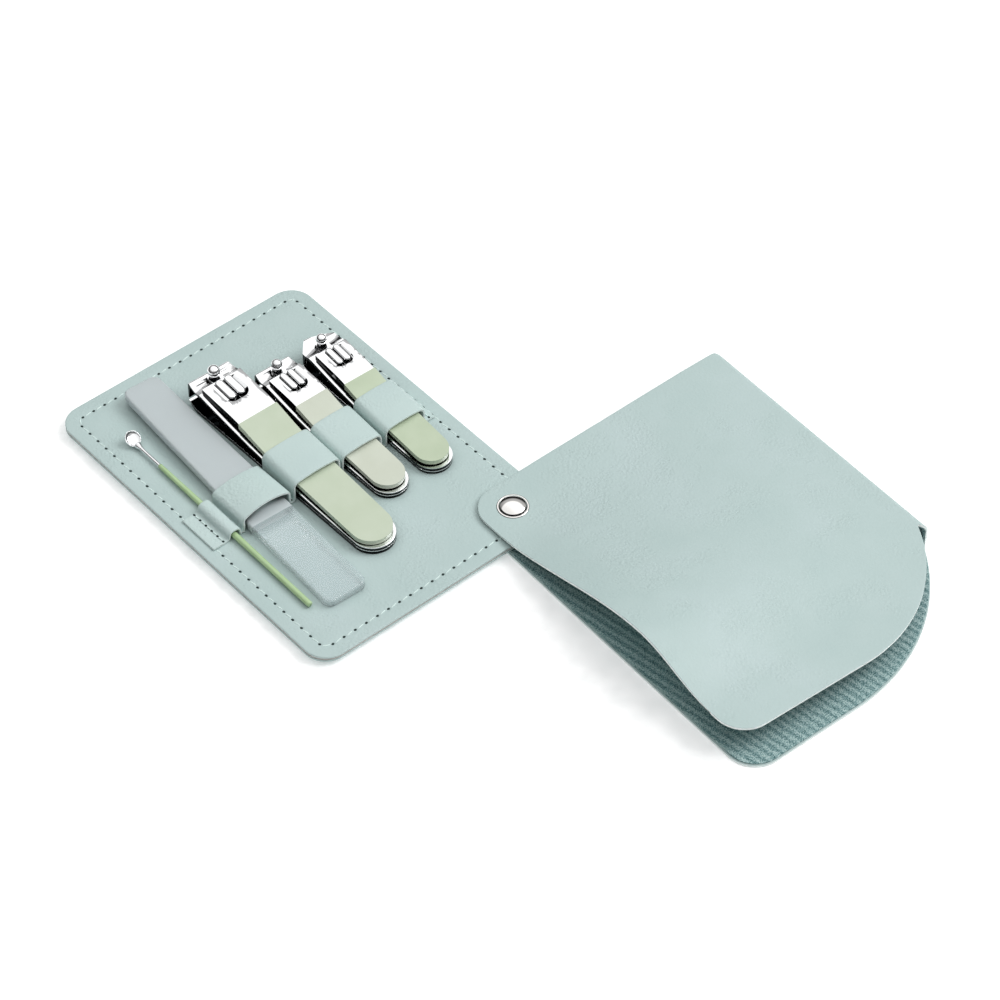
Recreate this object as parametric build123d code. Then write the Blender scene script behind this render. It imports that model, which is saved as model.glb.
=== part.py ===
from build123d import *
import math
import os

# Manicure set case, millimetres. The origin is the rivet's axis on the surface the case rests on.
# +Z is up, +Y runs along the tool card away from the rivet, +X points to the spine of the cover.

# ---- cover ----
coverTurn = -2.0  # degrees that the opened cover lies off the card's edge
shellThick = 0.8
liningThick = 0.4
leafTop = 9.4  # rivet to the leaf's top edge
leafOpenSide = 9.8  # rivet to the leaf's open edge
leafEnd = 112.4  # rivet to the leaf's end edge
spineReach = 84.6  # rivet to the outside of the spine fold
spineEnd = 79.6  # rivet to where the spine stops
endCurveStart = 28.0  # where the end edge starts its sweep up to the spine
endCurveStop = 81.6  # rivet to where the sweep meets the fold
cornerRadius = 9.0
spineCornerRadius = 3.0
liningInset = 0.8  # lining edge behind the leatherette edge
liningSeat = 0.02  # glue between the curved leaf and its lining
foldHeight = 7.6  # outer height of the spine fold
foldCorner = 2.6  # outer radius of the fold's two bends
clampReach = 6.4  # how far from the rivet's axis the upper leaf is held down
clampGap = 0.4  # cut between the held corner and the free leaf
flapEndLift = 10.5  # height of the free leaf's underside at its open corner
flapCrest = 17.6  # height of the wave's crest in the open edge
flapCrestAt = 67.0  # rivet to the crest of the wave
flapRiseStart = 2.0  # rivet to where the wave starts to climb
flapFallLength = 28.0  # crest to where the wave has settled
flapRiseSections = 4
flapFallSections = 3
flapPull = 5.4  # how far the lifted leaf's end stays behind the lower leaf's end
flapCurveStart = 36.0  # where the lifted leaf's end starts its sweep up to the spine
flapCurveStop = 79.8  # rivet to where its sweep meets the fold
flapBend = 1.3  # power of the curve from the fold to the open edge
flapReach = 6.0  # how far that curve runs on past the open edge
cutReach = 400.0  # size of a cutting body that has to pass everything
cutPast = 1.0  # how far other cutting bodies pass the face they open

# ---- tool card ----
cardWidth = 88.0
cardLength = 123.0
cardCorner = 7.2
rivetInSide = 11.2  # rivet to the card's long edge
rivetInEnd = 10.1  # rivet to the card's short edge
skinThick = 0.7
boardThick = 0.6
swivelGap = 0.2  # between the card and each leaf

# ---- rivet ----
postRadius = 2.0
postFit = 0.15
flangeRadius = 4.5
flangeThick = 0.5
capRadius = 4.7
capRim = 0.6
capDome = 1.7
capSocketDepth = 0.8

# ---- loops ----
bandStart = 42.3  # rivet to the band's near edge
bandWidth = 14.5  # along the card
bandThick = 0.8
bandTab = 3.4  # sewn tab past the last loop
loopClear = 0.4  # beside a tool in its loop
loopHeadroom = 0.55  # over a tool in its loop
loopShoulder = 1.4  # radius inside a clipper's loop
loopCrown = 7.0  # degrees at which a clipper's loop rises from its shoulders
fileShoulder = 0.9
fileCrown = 20.0
earShoulder = 0.9
earCrown = 10.0
earLoopThick = 0.7
earLoopTab = 6.2
earLoopGap = 0.1  # to the band beside it

# ---- tools ----
restGap = 0.1  # under a tool that lies on the card
fileWidth = 14.0
fileTipWidth = 12.0
fileLength = 101.5
fileThick = 2.8
fileTaperStart = 50.0
fileCorner = 2.6
fileEdge = 0.6  # rounding of the file's long edges
fileAt = (-56.2, 4.0)  # middle of the file's lower end
fileTurn = -2.3
filePitch = 1.0

pickAt = (-66.1, 8.3)  # lower end of the ear pick
pickTurn = -0.4
pickGripLength = 69.5
pickGripRadius = 1.05
pickStemRadius = 0.7
pickNeckLength = 10.5
pickSocket = 6.0  # depth of the stem in the grip
pickEnd = 0.4  # rounding of the grip's two ends
spoonLength = 4.6
spoonWidth = 3.8
spoonDepth = 1.5
spoonWall = 0.35
spoonLap = 0.5  # how far the stem runs into the spoon
spoonLift = 0.5  # the spoon's rim over the stem's middle


# one nail clipper: lengths run from its tail, heights from its underside
largeSizes = dict(
    length=82.0,
    width=15.6,
    frontWidth=14.2,
    tailWidth=13.2,
    cheekLength=4.8,
    slantLeft=0.0,
    slantRight=0.0,
    tipX=0.0,
    yaw=0.0,
    armThick=1.2,
    joinLength=12.0,
    headHeight=8.4,
    headLength=6.4,
    frontRadius=0.9,
    cutHeight=1.5,
    jawGap=1.0,
    jawThick=1.5,
    edgeThick=0.35,
    jawBevel=3.0,
    leverStart=1.5,
    leverBack=6.8,
    leverWidth=13.7,
    leverTailWidth=12.2,
    leverDepth=1.3,
    leverPlate=0.8,
    leverTailHeight=3.9,
    leverFrontHeight=10.5,
    leverStep=2.3,
    stepStart=44.0,
    stepLength=18.0,
    enamelEnd=58.3,
    enamelThick=0.2,
    pinAt=3.4,
    pinRadius=0.9,
    ballRadius=1.95,
    neckWidth=4.2,
    lobeLength=7.6,
    lobeWidth=2.8,
    lobeRise=0.7,
    windowGap=1.1,
    rivetRadius=1.8,
)
shortSizes = dict(
    largeSizes,
    length=59.4,
    width=13.2,
    frontWidth=12.0,
    tailWidth=11.4,
    cheekLength=4.0,
    armThick=1.1,
    joinLength=9.0,
    headHeight=7.2,
    headLength=6.2,
    frontRadius=0.8,
    cutHeight=1.4,
    jawGap=0.9,
    jawThick=1.3,
    jawBevel=2.6,
    leverBack=6.6,
    leverWidth=11.2,
    leverTailWidth=10.2,
    leverDepth=1.2,
    leverTailHeight=3.9,
    leverFrontHeight=9.2,
    leverStep=1.7,
    stepStart=30.0,
    stepLength=14.0,
    enamelEnd=40.4,
    pinAt=3.0,
    ballRadius=1.7,
    neckWidth=3.6,
    lobeLength=6.4,
    lobeWidth=2.3,
    windowGap=0.9,
    rivetRadius=1.5,
)
slantSizes = dict(
    shortSizes,
    length=62.4,
    width=12.8,
    cheekLength=6.0,
    slantLeft=4.4,
    slantRight=3.2,
    tipX=-2.6,
    yaw=-1.1,
    headHeight=7.0,
    leverBack=9.4,
    leverWidth=10.9,
    enamelEnd=39.2,
    pinAt=5.2,
    headLength=8.6,
)
clippers = {
    "large": dict(at=(-36.4, 11.0), sizes=largeSizes),
    "small": dict(at=(-20.1, 24.8), sizes=shortSizes),
    "slant": dict(at=(-4.7, 24.0), sizes=slantSizes),
}

pinFit = 0.1  # round a pin or rivet that turns in its hole
pinSlack = 0.4  # round the pin in the arm that swings
partingSlope = 0.02  # of the sprung arm's underside where it leaves the flat arm
dishRadius = 7.0  # of the shallow hollow pressed across a sprung arm's head
dishDepth = 0.5
pinFlange = 1.0
pinFlangeThick = 0.5
rivetNeck = 0.6  # neck of the tail rivet, as a share of its head
rivetHeadThick = 0.5
lobeSlot = 0.4  # between a lever's two lobes
lobeRound = 0.45  # rounding of a lobe, as a share of its width
lobeSill = 0.3  # thickness of the web that joins the two lobes underneath
headGap = 0.3  # between the sprung arm's head and the lever's side walls
hookLift = 0.1  # between that head and the lever's hook
hookThick = 0.4
hookGap = 0.05  # under the pin's ball
leverStations = 12

# ---- heights that follow ----
leafThick = shellThick + liningThick
cardBottom = leafThick + swivelGap
boardBottom = cardBottom + skinThick
frontSkinBottom = boardBottom + boardThick
cardTop = frontSkinBottom + skinThick
clampBottom = cardTop + swivelGap
clampShellBottom = clampBottom + liningThick
clampTop = clampShellBottom + shellThick
toolRest = cardTop + restGap
bandEnd = bandStart + bandWidth
cardRight = rivetInSide
cardLeft = cardRight - cardWidth
cardNear = -rivetInEnd
cardFar = cardNear + cardLength


def plate(outline, bottom, thick):
    """A flat layer: the outline raised by its thickness."""
    return Pos(0, 0, bottom) * extrude(outline, thick)


# ---- cover leaves ----
def leafOutline(inset, end, curveStart, curveStop):
    """Plan of a leaf in the cover's own axes: rounded corners, and an end that sweeps up to the fold."""
    top = leafTop - inset
    side = -leafOpenSide + inset
    low = -end + inset
    radius = cornerRadius - inset
    fold = spineReach - foldCorner
    stop = -curveStop + inset
    edges = [
        Line((side + radius, top), (spineReach - spineCornerRadius, top)),
        JernArc((spineReach - spineCornerRadius, top), (1, 0), spineCornerRadius, -90),
        Line((spineReach, top - spineCornerRadius), (spineReach, -spineEnd)),
        Line((spineReach, -spineEnd), (fold, stop)),
        TangentArc((curveStart, low), (fold, stop), tangent=(1, 0)),
        Line((curveStart, low), (side + radius, low)),
        JernArc((side + radius, low), (-1, 0), radius, -90),
        Line((side, low + radius), (side, top - radius)),
        JernArc((side, top - radius), (0, 1), radius, -90),
    ]
    return make_face(Wire(edges))


def lowerOutline(inset=0.0):
    """Plan of the leaf that lies flat."""
    return leafOutline(inset, leafEnd, endCurveStart, endCurveStop)


def upperOutline(inset=0.0):
    """Plan of the lifted leaf, a little shorter."""
    return leafOutline(inset, leafEnd - flapPull, flapCurveStart, flapCurveStop)


def clampOutline(gap=0.0):
    """Plan of the corner that the rivet holds: everything beyond a slanted line beside the rivet."""
    shift = clampReach + gap - cutReach / 2
    return Rot(0, 0, -45) * (Pos(shift, 0, 0) * Rectangle(cutReach, cutReach))


def smooth(part):
    """An S-shaped ramp from 0 to 1."""
    part = min(1.0, max(0.0, part))
    return part * part * (3 - 2 * part)


def openEdgeHeight(y):
    """Height of the upper leaf's underside along its open edge, y measured from the rivet."""
    rise = smooth((-y - flapRiseStart) / (flapCrestAt - flapRiseStart))
    fall = smooth((-y - flapCrestAt) / flapFallLength)
    return clampBottom + (flapCrest - clampBottom) * rise - (flapCrest - flapEndLift) * fall


def crossPlane(y):
    """The upright plane across the spine at y, x to the spine and y up."""
    return Plane(origin=(0, y, 0), x_dir=(1, 0, 0), z_dir=(0, -1, 0))


def foldBend(depth):
    """The fold's line at a depth under its outside: two bends with a straight between them."""
    bend = foldCorner - depth
    start = spineReach - foldCorner
    side = spineReach - depth
    return [
        JernArc((start, depth), (1, 0), bend, 90),
        Line((side, foldCorner), (side, foldHeight - foldCorner)),
        JernArc((side, foldHeight - foldCorner), (0, 1), bend, 90),
    ]


def foldStrip(outer, inner):
    """The fold as a straight strip along the spine, between two depths under its outside."""
    start = spineReach - foldCorner
    edges = foldBend(outer) + foldBend(inner)
    edges += [
        Line((start, foldHeight - outer), (start, foldHeight - inner)),
        Line((start, inner), (start, outer)),
    ]
    section = crossPlane(leafTop) * make_face(Wire(edges))
    return extrude(section, leafTop + spineEnd + foldHeight)


def leafSection(y, outer, inner):
    """Section of the lifted leaf at y from the fold to past its open edge, between two depths."""
    start = spineReach - foldCorner
    reach = start + leafOpenSide + flapReach
    lift = openEdgeHeight(y) + leafThick - foldHeight
    shares = [0.0, 0.25, 0.5, 0.75, 1.0]
    heights = [foldHeight + lift * (smooth(part) if lift < 0 else part**flapBend) for part in shares]

    def surface(depth):
        points = [(start - reach * part, high - depth) for part, high in zip(shares, heights)]
        end = (points[-1][0] - points[-2][0], points[-1][1] - points[-2][1])
        return points, Spline(*points, tangents=[(-1, 0), end])

    topPoints, top = surface(outer)
    lowPoints, low = surface(inner)
    edges = [top, Line(topPoints[-1], lowPoints[-1]), low, Line(lowPoints[0], topPoints[0])]
    return crossPlane(y) * make_face(Wire(edges))


def foldedLeaf(outer, inner, inset):
    """The free upper leaf with its fold: sections along the spine, cut to the leaf's plan."""
    climb = (flapCrestAt - flapRiseStart) / flapRiseSections
    settle = flapFallLength / flapFallSections
    stations = [leafTop + cutPast]
    stations += [-flapRiseStart - climb * n for n in range(flapRiseSections + 1)]
    stations += [-flapCrestAt - settle * (n + 1) for n in range(flapFallSections)]
    stations.append(-leafEnd - cutPast)
    body = loft([leafSection(y, outer, inner) for y in stations])
    body += foldStrip(outer, inner)
    return body & plate(upperOutline(inset), -cutPast, flapCrest + foldHeight)


def cover():
    """The two leaves, their linings and the held corner, turned as the opened cover lies."""
    hole = Cylinder(postRadius, cutReach)
    flat = Pos(spineReach - foldCorner - cutReach / 2, 0, 0) * Box(cutReach, cutReach, cutReach)
    corner = clampOutline()
    held = plate(clampOutline(clampGap), -cutPast, cutReach)
    base = plate(lowerOutline(), 0, shellThick) & flat
    pieces = {
        "base_leaf_shell": base - hole - Cylinder(flangeRadius, 2 * flangeThick),
        "base_leaf_lining": (plate(lowerOutline(liningInset), shellThick, liningThick) & flat) - hole,
        "flap_corner_shell": plate(upperOutline() & corner, clampShellBottom, shellThick) - hole,
        "flap_corner_lining": plate(upperOutline(liningInset) & corner, clampBottom, liningThick) - hole,
        "flap_shell": foldedLeaf(0.0, shellThick, 0.0) - held,
        "flap_lining": foldedLeaf(shellThick + liningSeat, leafThick, liningInset) - held,
    }
    return {name: Rot(0, 0, coverTurn) * piece for name, piece in pieces.items()}


def rivet():
    """A post with a flush back flange, and the domed cap pressed on its end."""
    postTop = clampTop + capSocketDepth
    post = Pos(0, 0, postTop / 2) * Cylinder(postRadius, postTop)
    post += Pos(0, 0, flangeThick / 2) * Cylinder(flangeRadius, flangeThick)
    profile = [
        Line((0, 0), (capRadius, 0)),
        Line((capRadius, 0), (capRadius, capRim)),
        TangentArc((0, capRim + capDome), (capRadius, capRim), tangent=(1, 0)),
        Line((0, capRim + capDome), (0, 0)),
    ]
    cap = revolve(Plane.XZ * make_face(Wire(profile)), Axis.Z)
    cap = Pos(0, 0, clampTop) * cap
    cap -= Pos(0, 0, clampTop + capSocketDepth / 2) * Cylinder(postRadius, capSocketDepth)
    return {"rivet_post": post, "rivet_cap": cap}


# ---- tool card ----
def card():
    """Two skins and the board between them, holed for the rivet's post."""
    outline = Rectangle(cardWidth, cardLength)
    outline = fillet(outline.vertices(), cardCorner)
    outline = Pos((cardLeft + cardRight) / 2, (cardNear + cardFar) / 2) * outline
    outline -= Circle(postRadius + postFit)
    return {
        "card_back_skin": plate(outline, cardBottom, skinThick),
        "card_board": plate(outline, boardBottom, boardThick),
        "card_front_skin": plate(outline, frontSkinBottom, skinThick),
    }


def archFace(y, left, right, height, shoulder, crown):
    """Section of a loop at y, standing on the card: straight sides, round shoulders, a crowned top."""
    sine = math.sin(math.radians(crown))
    cosine = math.cos(math.radians(crown))
    low = cardTop
    bend = cardTop + height - shoulder
    inward = shoulder * (1 - sine)
    top = bend + shoulder * cosine
    edges = [
        Line((left, low), (left, bend)),
        JernArc((left, bend), (0, 1), shoulder, crown - 90),
        TangentArc((left + inward, top), (right - inward, top), tangent=(cosine, sine)),
        JernArc((right, bend), (0, 1), shoulder, 90 - crown),
        Line((right, bend), (right, low)),
        Line((right, low), (left, low)),
    ]
    return crossPlane(y) * make_face(Wire(edges))


def arch(left, right, nearHeight, farHeight, shoulder, crown, grow=0.0):
    """A loop's inside, or its outside when grow is the band's thickness."""
    faces = [
        archFace(y, left - grow, right + grow, height + grow, shoulder + grow, crown)
        for y, height in ((bandStart, nearHeight), (bandEnd, farHeight))
    ]
    return loft(faces, ruled=True)


def leverSlope(sizes):
    """Slope of a lever's top, from its height at the tail to its height at the front."""
    rise = sizes["leverFrontHeight"] - sizes["leverTailHeight"] - sizes["leverStep"]
    return rise / (sizes["length"] - sizes["leverBack"] - sizes["leverStart"])


def leverTop(sizes, along):
    """Height of a lever's top at a distance from its clipper's tail: a gentle slope and one step up."""
    slope = leverSlope(sizes) * (along - sizes["leverStart"])
    step = sizes["leverStep"] * smooth((along - sizes["stepStart"]) / sizes["stepLength"])
    return sizes["leverTailHeight"] + slope + step


def hookTop(sizes):
    """Height of the top of the lever's hook, which reaches over the sprung arm's head."""
    return sizes["headHeight"] + hookLift + hookThick


def clipperHalfWidth(sizes, along):
    """Half the width of a clipper's arms there."""
    tail = sizes["tailWidth"] / 2
    cheek = sizes["length"] - sizes["cheekLength"]
    return tail + (sizes["width"] / 2 - tail) * (along - tail) / (cheek - tail)


def loopList():
    """Sides, near and far heights, shoulder and crown of the four loops, from the tools in them."""
    rise = math.tan(math.radians(filePitch))
    turn = math.tan(math.radians(-fileTurn))
    near = fileAt[0] + turn * (bandStart - fileAt[1])
    far = fileAt[0] + turn * (bandEnd - fileAt[1])
    half = fileWidth / 2 + loopClear
    high = restGap + fileThick + rise * (bandEnd - fileAt[1]) + loopClear
    loops = [(near - half, far + half, high, high, fileShoulder, fileCrown)]
    for clipper in clippers.values():
        sizes = clipper["sizes"]
        middle, tail = clipper["at"]
        turn = math.tan(math.radians(-sizes["yaw"]))
        ends = [middle + turn * (y - tail) for y in (bandStart, bandEnd)]
        half = clipperHalfWidth(sizes, bandEnd - tail) + loopClear
        top = restGap + sizes["enamelThick"] + loopHeadroom
        heights = [top + leverTop(sizes, y - tail) for y in (bandStart, bandEnd)]
        loops.append((min(ends) - half, max(ends) + half, *heights, loopShoulder, loopCrown))
    return loops


def toolBand():
    """One strip of leatherette, sewn down between four raised loops."""
    loops = loopList()
    left = loops[0][0]
    right = loops[-1][1] + bandThick + bandTab
    size = (right - left, bandWidth, bandThick)
    band = Pos((left + right) / 2, (bandStart + bandEnd) / 2, cardTop + bandThick / 2) * Box(*size)
    for loop in loops:
        band += arch(*loop, grow=bandThick)
    for loop in loops:
        band -= arch(*loop)
    return band


def earPickLoop():
    """The small sewn loop round the ear pick, its longer tab towards the card's edge."""
    along = (bandStart + bandEnd) / 2
    middle = pickAt[0] + math.tan(math.radians(-pickTurn)) * (along - pickAt[1])
    half = pickGripRadius + loopClear
    high = restGap + 2 * pickGripRadius + loopClear
    inside = (middle - half, middle + half, high, high, earShoulder, earCrown)
    left = middle - half - earLoopTab
    right = loopList()[0][0] - bandThick - earLoopGap
    size = (right - left, bandWidth, earLoopThick)
    loop = Pos((left + right) / 2, along, cardTop + earLoopThick / 2) * Box(*size)
    return loop + arch(*inside, grow=earLoopThick) - arch(*inside)


# ---- tools ----
def glassFile():
    """A glass bar with rounded edges, narrower towards its tip."""
    half = fileWidth / 2
    tip = fileTipWidth / 2
    outline = make_face(
        Polyline(
            (-half, 0),
            (half, 0),
            (half, fileTaperStart),
            (tip, fileLength),
            (-tip, fileLength),
            (-half, fileTaperStart),
            close=True,
        )
    )
    ends = outline.vertices().group_by(Axis.Y)
    outline = fillet(ends[0] + ends[-1], fileCorner)
    bar = extrude(outline, fileThick)
    bar = fillet(bar.faces().filter_by(Axis.Z).edges(), fileEdge)
    place = Pos(fileAt[0], fileAt[1], toolRest) * Rot(0, 0, fileTurn) * Rot(filePitch, 0, 0)
    return {"glass_file": place * bar}


def earPick():
    """A thin stem with a round-ended grip and a small hollow spoon."""
    height = toolRest + pickGripRadius
    place = Pos(pickAt[0], pickAt[1], height) * Rot(0, 0, pickTurn)
    run = Rot(-90, 0, 0)
    grip = run * Pos(0, 0, pickGripLength / 2) * Cylinder(pickGripRadius, pickGripLength)
    grip = fillet(grip.edges().filter_by(GeomType.CIRCLE), pickEnd)
    grip -= run * Pos(0, 0, pickGripLength - pickSocket / 2) * Cylinder(pickStemRadius, pickSocket)
    stemLength = pickSocket + pickNeckLength
    stem = Cylinder(pickStemRadius, stemLength)
    stem = run * Pos(0, 0, pickGripLength - pickSocket + stemLength / 2) * stem
    middle = pickGripLength + pickNeckLength + spoonLength / 2 - spoonLap
    outer = scale(Sphere(spoonLength / 2), by=(spoonWidth / spoonLength, 1, 2 * spoonDepth / spoonLength))
    hollow = scale(
        Sphere(spoonLength / 2),
        by=(
            (spoonWidth - 2 * spoonWall) / spoonLength,
            1 - 2 * spoonWall / spoonLength,
            2 * (spoonDepth - spoonWall) / spoonLength,
        ),
    )
    below = Pos(0, 0, -spoonLength) * Box(2 * spoonLength, 2 * spoonLength, 2 * spoonLength)
    stem += Pos(0, middle, spoonLift) * ((outer - hollow) & below)
    return {"ear_pick_grip": place * grip, "ear_pick_stem": place * stem}


def jawLine(sizes, back):
    """The jaw's front line, moved back by some distance: straight across, or two slants to a tip."""
    half = sizes["width"] / 2
    front = sizes["length"] - back
    left = (-half, front - sizes["slantLeft"])
    return [left, (sizes["tipX"], front), (half, front - sizes["slantRight"])]


def behindJaw(sizes, back):
    """The plan of everything behind the jaw's front line."""
    left, tip, right = jawLine(sizes, back)
    reach = sizes["width"]
    leftEnd = (left[0] - reach, left[1] - sizes["slantLeft"])
    rightEnd = (right[0] + reach, right[1] - sizes["slantRight"])
    points = [(-reach * 2, -reach), leftEnd, left, tip, right, rightEnd, (reach * 2, -reach)]
    return make_face(Polyline(*points, close=True))


def bevelBlock(sizes, lowBack, lowHeight, highBack, highHeight):
    """Everything behind a leaning jaw face, between two heights."""
    low = Pos(0, 0, lowHeight) * behindJaw(sizes, lowBack)
    high = Pos(0, 0, highHeight) * behindJaw(sizes, highBack)
    return loft([low, high], ruled=True)


def armOutline(sizes):
    """Plan of a clipper's arm: round at the tail, slightly wider at the jaw, with cut cheeks."""
    half = sizes["width"] / 2
    tail = sizes["tailWidth"] / 2
    cheek = sizes["length"] - sizes["cheekLength"]
    front = sizes["length"]
    reach = sizes["frontWidth"] / 2
    edges = [
        Line((-tail, tail), (-half, cheek)),
        Line((-half, cheek), (-reach, front)),
        Line((-reach, front), (reach, front)),
        Line((reach, front), (half, cheek)),
        Line((half, cheek), (tail, tail)),
        ThreePointArc((tail, tail), (0, 0), (-tail, tail)),
    ]
    return make_face(Wire(edges)) & behindJaw(sizes, 0)


def lowerArm(sizes):
    """The flat arm, with a low cutting edge bevelled from below."""
    outline = armOutline(sizes)
    cut = sizes["cutHeight"]
    jaw = sizes["jawThick"]
    edge = plate(outline, 0, cut) - bevelBlock(sizes, jaw, -cutPast, jaw, cut + cutPast)
    arm = plate(outline, 0, sizes["armThick"]) + edge
    arm &= bevelBlock(sizes, sizes["jawBevel"], 0, 0, cut)
    pin = sizes["pinRadius"] + pinFit
    head = sizes["rivetRadius"] + pinFit
    neck = sizes["rivetRadius"] * rivetNeck + pinFit
    pinHole = Cylinder(pin, cutReach) + Cylinder(pin + pinFlange, 2 * (pinFlangeThick + pinFit))
    rivetHole = Cylinder(neck, cutReach) + Cylinder(head, 2 * (rivetHeadThick + pinFit))
    arm -= Pos(0, sizes["length"] - sizes["pinAt"], 0) * pinHole
    return arm - Pos(0, sizes["joinLength"] / 2, 0) * rivetHole


def upperArm(sizes):
    """The sprung arm: it bows up from the joined tail and turns down at the front to its own edge."""
    thick = sizes["armThick"]
    join = sizes["joinLength"]
    front = sizes["length"]
    high = sizes["headHeight"]
    low = sizes["cutHeight"] + sizes["jawGap"]
    crown = front - sizes["frontRadius"]
    head = front - sizes["headLength"]
    side = [
        Line((0, thick), (front, thick)),
        Line((front, thick), (front, high - sizes["frontRadius"])),
        TangentArc((front, high - sizes["frontRadius"]), (crown, high), tangent=(0, 1)),
        Line((crown, high), (head, high)),
        TangentArc((join, 2 * thick), (head, high), tangent=(1, 0)),
        Line((join, 2 * thick), (0, 2 * thick)),
        Line((0, 2 * thick), (0, thick)),
    ]
    under = [
        TangentArc((join, thick), (head, high - thick), tangent=(1, partingSlope)),
        Line((head, high - thick), (front, high - thick)),
        Line((front, high - thick), (front, 0)),
        Line((front, 0), (join, 0)),
        Line((join, 0), (join, thick)),
    ]
    body = extrude(Plane.YZ * make_face(Wire(side)), sizes["width"], both=True)
    hollow = extrude(Plane.YZ * make_face(Wire(under)), sizes["width"], both=True)
    inside = bevelBlock(sizes, sizes["edgeThick"], low, sizes["jawThick"], high)
    inside += bevelBlock(sizes, -cutPast, 0, -cutPast, low)
    arm = (body & plate(armOutline(sizes), 0, 2 * high)) - (hollow & inside)
    dishMiddle = (head + crown) / 2
    arm -= Pos(0, dishMiddle, high + dishRadius - dishDepth) * Rot(0, 90, 0) * Cylinder(dishRadius, cutReach)
    arm -= Pos(0, front - sizes["pinAt"], 0) * Cylinder(sizes["pinRadius"] + pinSlack, cutReach)
    return arm - Pos(0, join / 2, 0) * Cylinder(sizes["rivetRadius"] * rivetNeck + pinFit, cutReach)


def leverOutline(sizes, grow=0.0):
    """Plan of a lever: a tapered strip, round at its tail, square at the head."""
    half = sizes["leverWidth"] / 2 + grow
    tail = sizes["leverTailWidth"] / 2 + grow
    low = sizes["leverStart"] - grow
    front = sizes["length"] - sizes["leverBack"] + grow
    edges = [
        Line((-tail, low + tail), (-half, front)),
        Line((-half, front), (half, front)),
        Line((half, front), (tail, low + tail)),
        ThreePointArc((tail, low + tail), (0, low), (-tail, low + tail)),
    ]
    return make_face(Wire(edges))


def leverDepth(sizes, along):
    """Depth of the lever's sides: shallow at the tail, and down to the sprung arm's head at the front."""
    more = sizes["leverFrontHeight"] - sizes["headHeight"] - headGap - sizes["leverDepth"]
    return sizes["leverDepth"] + more * smooth((along - sizes["stepStart"]) / sizes["stepLength"])


def leverSlab(sizes, top, bottom, full):
    """A slab under the lever's curved top: from one offset to another, or to the sides' depth."""
    start = sizes["leverStart"] - cutPast
    stop = sizes["length"] - sizes["leverBack"] + cutPast
    stations = [start + (stop - start) * n / leverStations for n in range(leverStations + 1)]

    def low(along):
        return leverTop(sizes, along) + bottom - (leverDepth(sizes, along) if full else 0)

    upper = [(along, leverTop(sizes, along) + top) for along in stations]
    lower = [(along, low(along)) for along in stations]
    edges = [Spline(*upper), Line(upper[-1], lower[-1]), Spline(*lower), Line(lower[0], upper[0])]
    return extrude(Plane.YZ * make_face(Wire(edges)), sizes["width"], both=True)


def clipperLever(sizes):
    """A pressed lever: a shallow channel, two lobes inside a U-shaped window, and a necked hook."""
    front = sizes["length"] - sizes["leverBack"]
    pinY = sizes["length"] - sizes["pinAt"]
    wall = sizes["leverPlate"]
    outline = leverOutline(sizes)
    inner = offset(outline, -wall)
    lever = leverSlab(sizes, 0, 0, True) & plate(outline, 0, cutReach)
    lever -= leverSlab(sizes, -wall, -cutPast, True) & plate(inner, -cutPast, cutReach)
    lobeEnd = front - wall
    lobeStart = lobeEnd - sizes["lobeLength"]
    tongue = 2 * sizes["lobeWidth"] + lobeSlot
    gap = sizes["windowGap"]
    window = Pos(0, (lobeStart - gap + lobeEnd) / 2) * Rectangle(tongue + 2 * gap, lobeEnd - lobeStart + gap)
    window = fillet(window.vertices().group_by(Axis.Y)[0], sizes["lobeWidth"])
    lever -= plate(window, leverTop(sizes, lobeStart) - wall - cutPast, cutReach)
    for side in (-1, 1):
        middle = (lobeStart + front) / 2
        bar = SlotOverall(front - lobeStart, sizes["lobeWidth"], rotation=90)
        bar = extrude(bar, sizes["lobeRise"] + wall)
        radius = min(sizes["lobeWidth"] * lobeRound, sizes["lobeRise"])
        bar = fillet(bar.faces().sort_by(Axis.Z)[-1].edges(), radius)
        lean = math.degrees(math.atan(leverSlope(sizes)))
        place = Pos(side * (sizes["lobeWidth"] + lobeSlot) / 2, middle, leverTop(sizes, middle) - wall)
        lever += place * Rot(lean, 0, 0) * bar
    sill = Rectangle(tongue - 2 * lobeSill, sizes["lobeLength"])
    sill = Pos(0, (lobeStart + lobeEnd) / 2 + wall) * sill
    neck = Pos(0, (front - wall + pinY) / 2) * Rectangle(sizes["neckWidth"], pinY - front + wall)
    neck += Pos(0, pinY) * Circle(sizes["neckWidth"] / 2)
    lever += plate(neck, hookTop(sizes) - hookThick, hookThick)
    lever += plate(sill, leverTop(sizes, lobeStart) - wall, lobeSill)
    return lever - Pos(0, pinY, 0) * Cylinder(sizes["pinRadius"] + pinSlack, cutReach)


def clipperEnamel(sizes):
    """The enamel on the lever's top and sides, from its tail to a straight line across."""
    grow = sizes["enamelThick"]
    skin = leverSlab(sizes, grow, 0, True) & plate(leverOutline(sizes, grow), 0, cutReach)
    skin -= leverSlab(sizes, 0, -cutPast, True) & plate(leverOutline(sizes), -cutPast, cutReach)
    return skin & (Pos(0, sizes["enamelEnd"] - cutReach / 2, 0) * Box(cutReach, cutReach, cutReach))


def clipperPin(sizes):
    """The pin: a flange under the lower arm, a shank through both arms and a ball over the lever."""
    ballZ = hookTop(sizes) + hookGap + sizes["ballRadius"]
    pin = Pos(0, 0, ballZ / 2) * Cylinder(sizes["pinRadius"], ballZ)
    pin += Pos(0, 0, pinFlangeThick / 2) * Cylinder(sizes["pinRadius"] + pinFlange, pinFlangeThick)
    pin += Pos(0, 0, ballZ) * Sphere(sizes["ballRadius"])
    return Pos(0, sizes["length"] - sizes["pinAt"], 0) * pin


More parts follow.
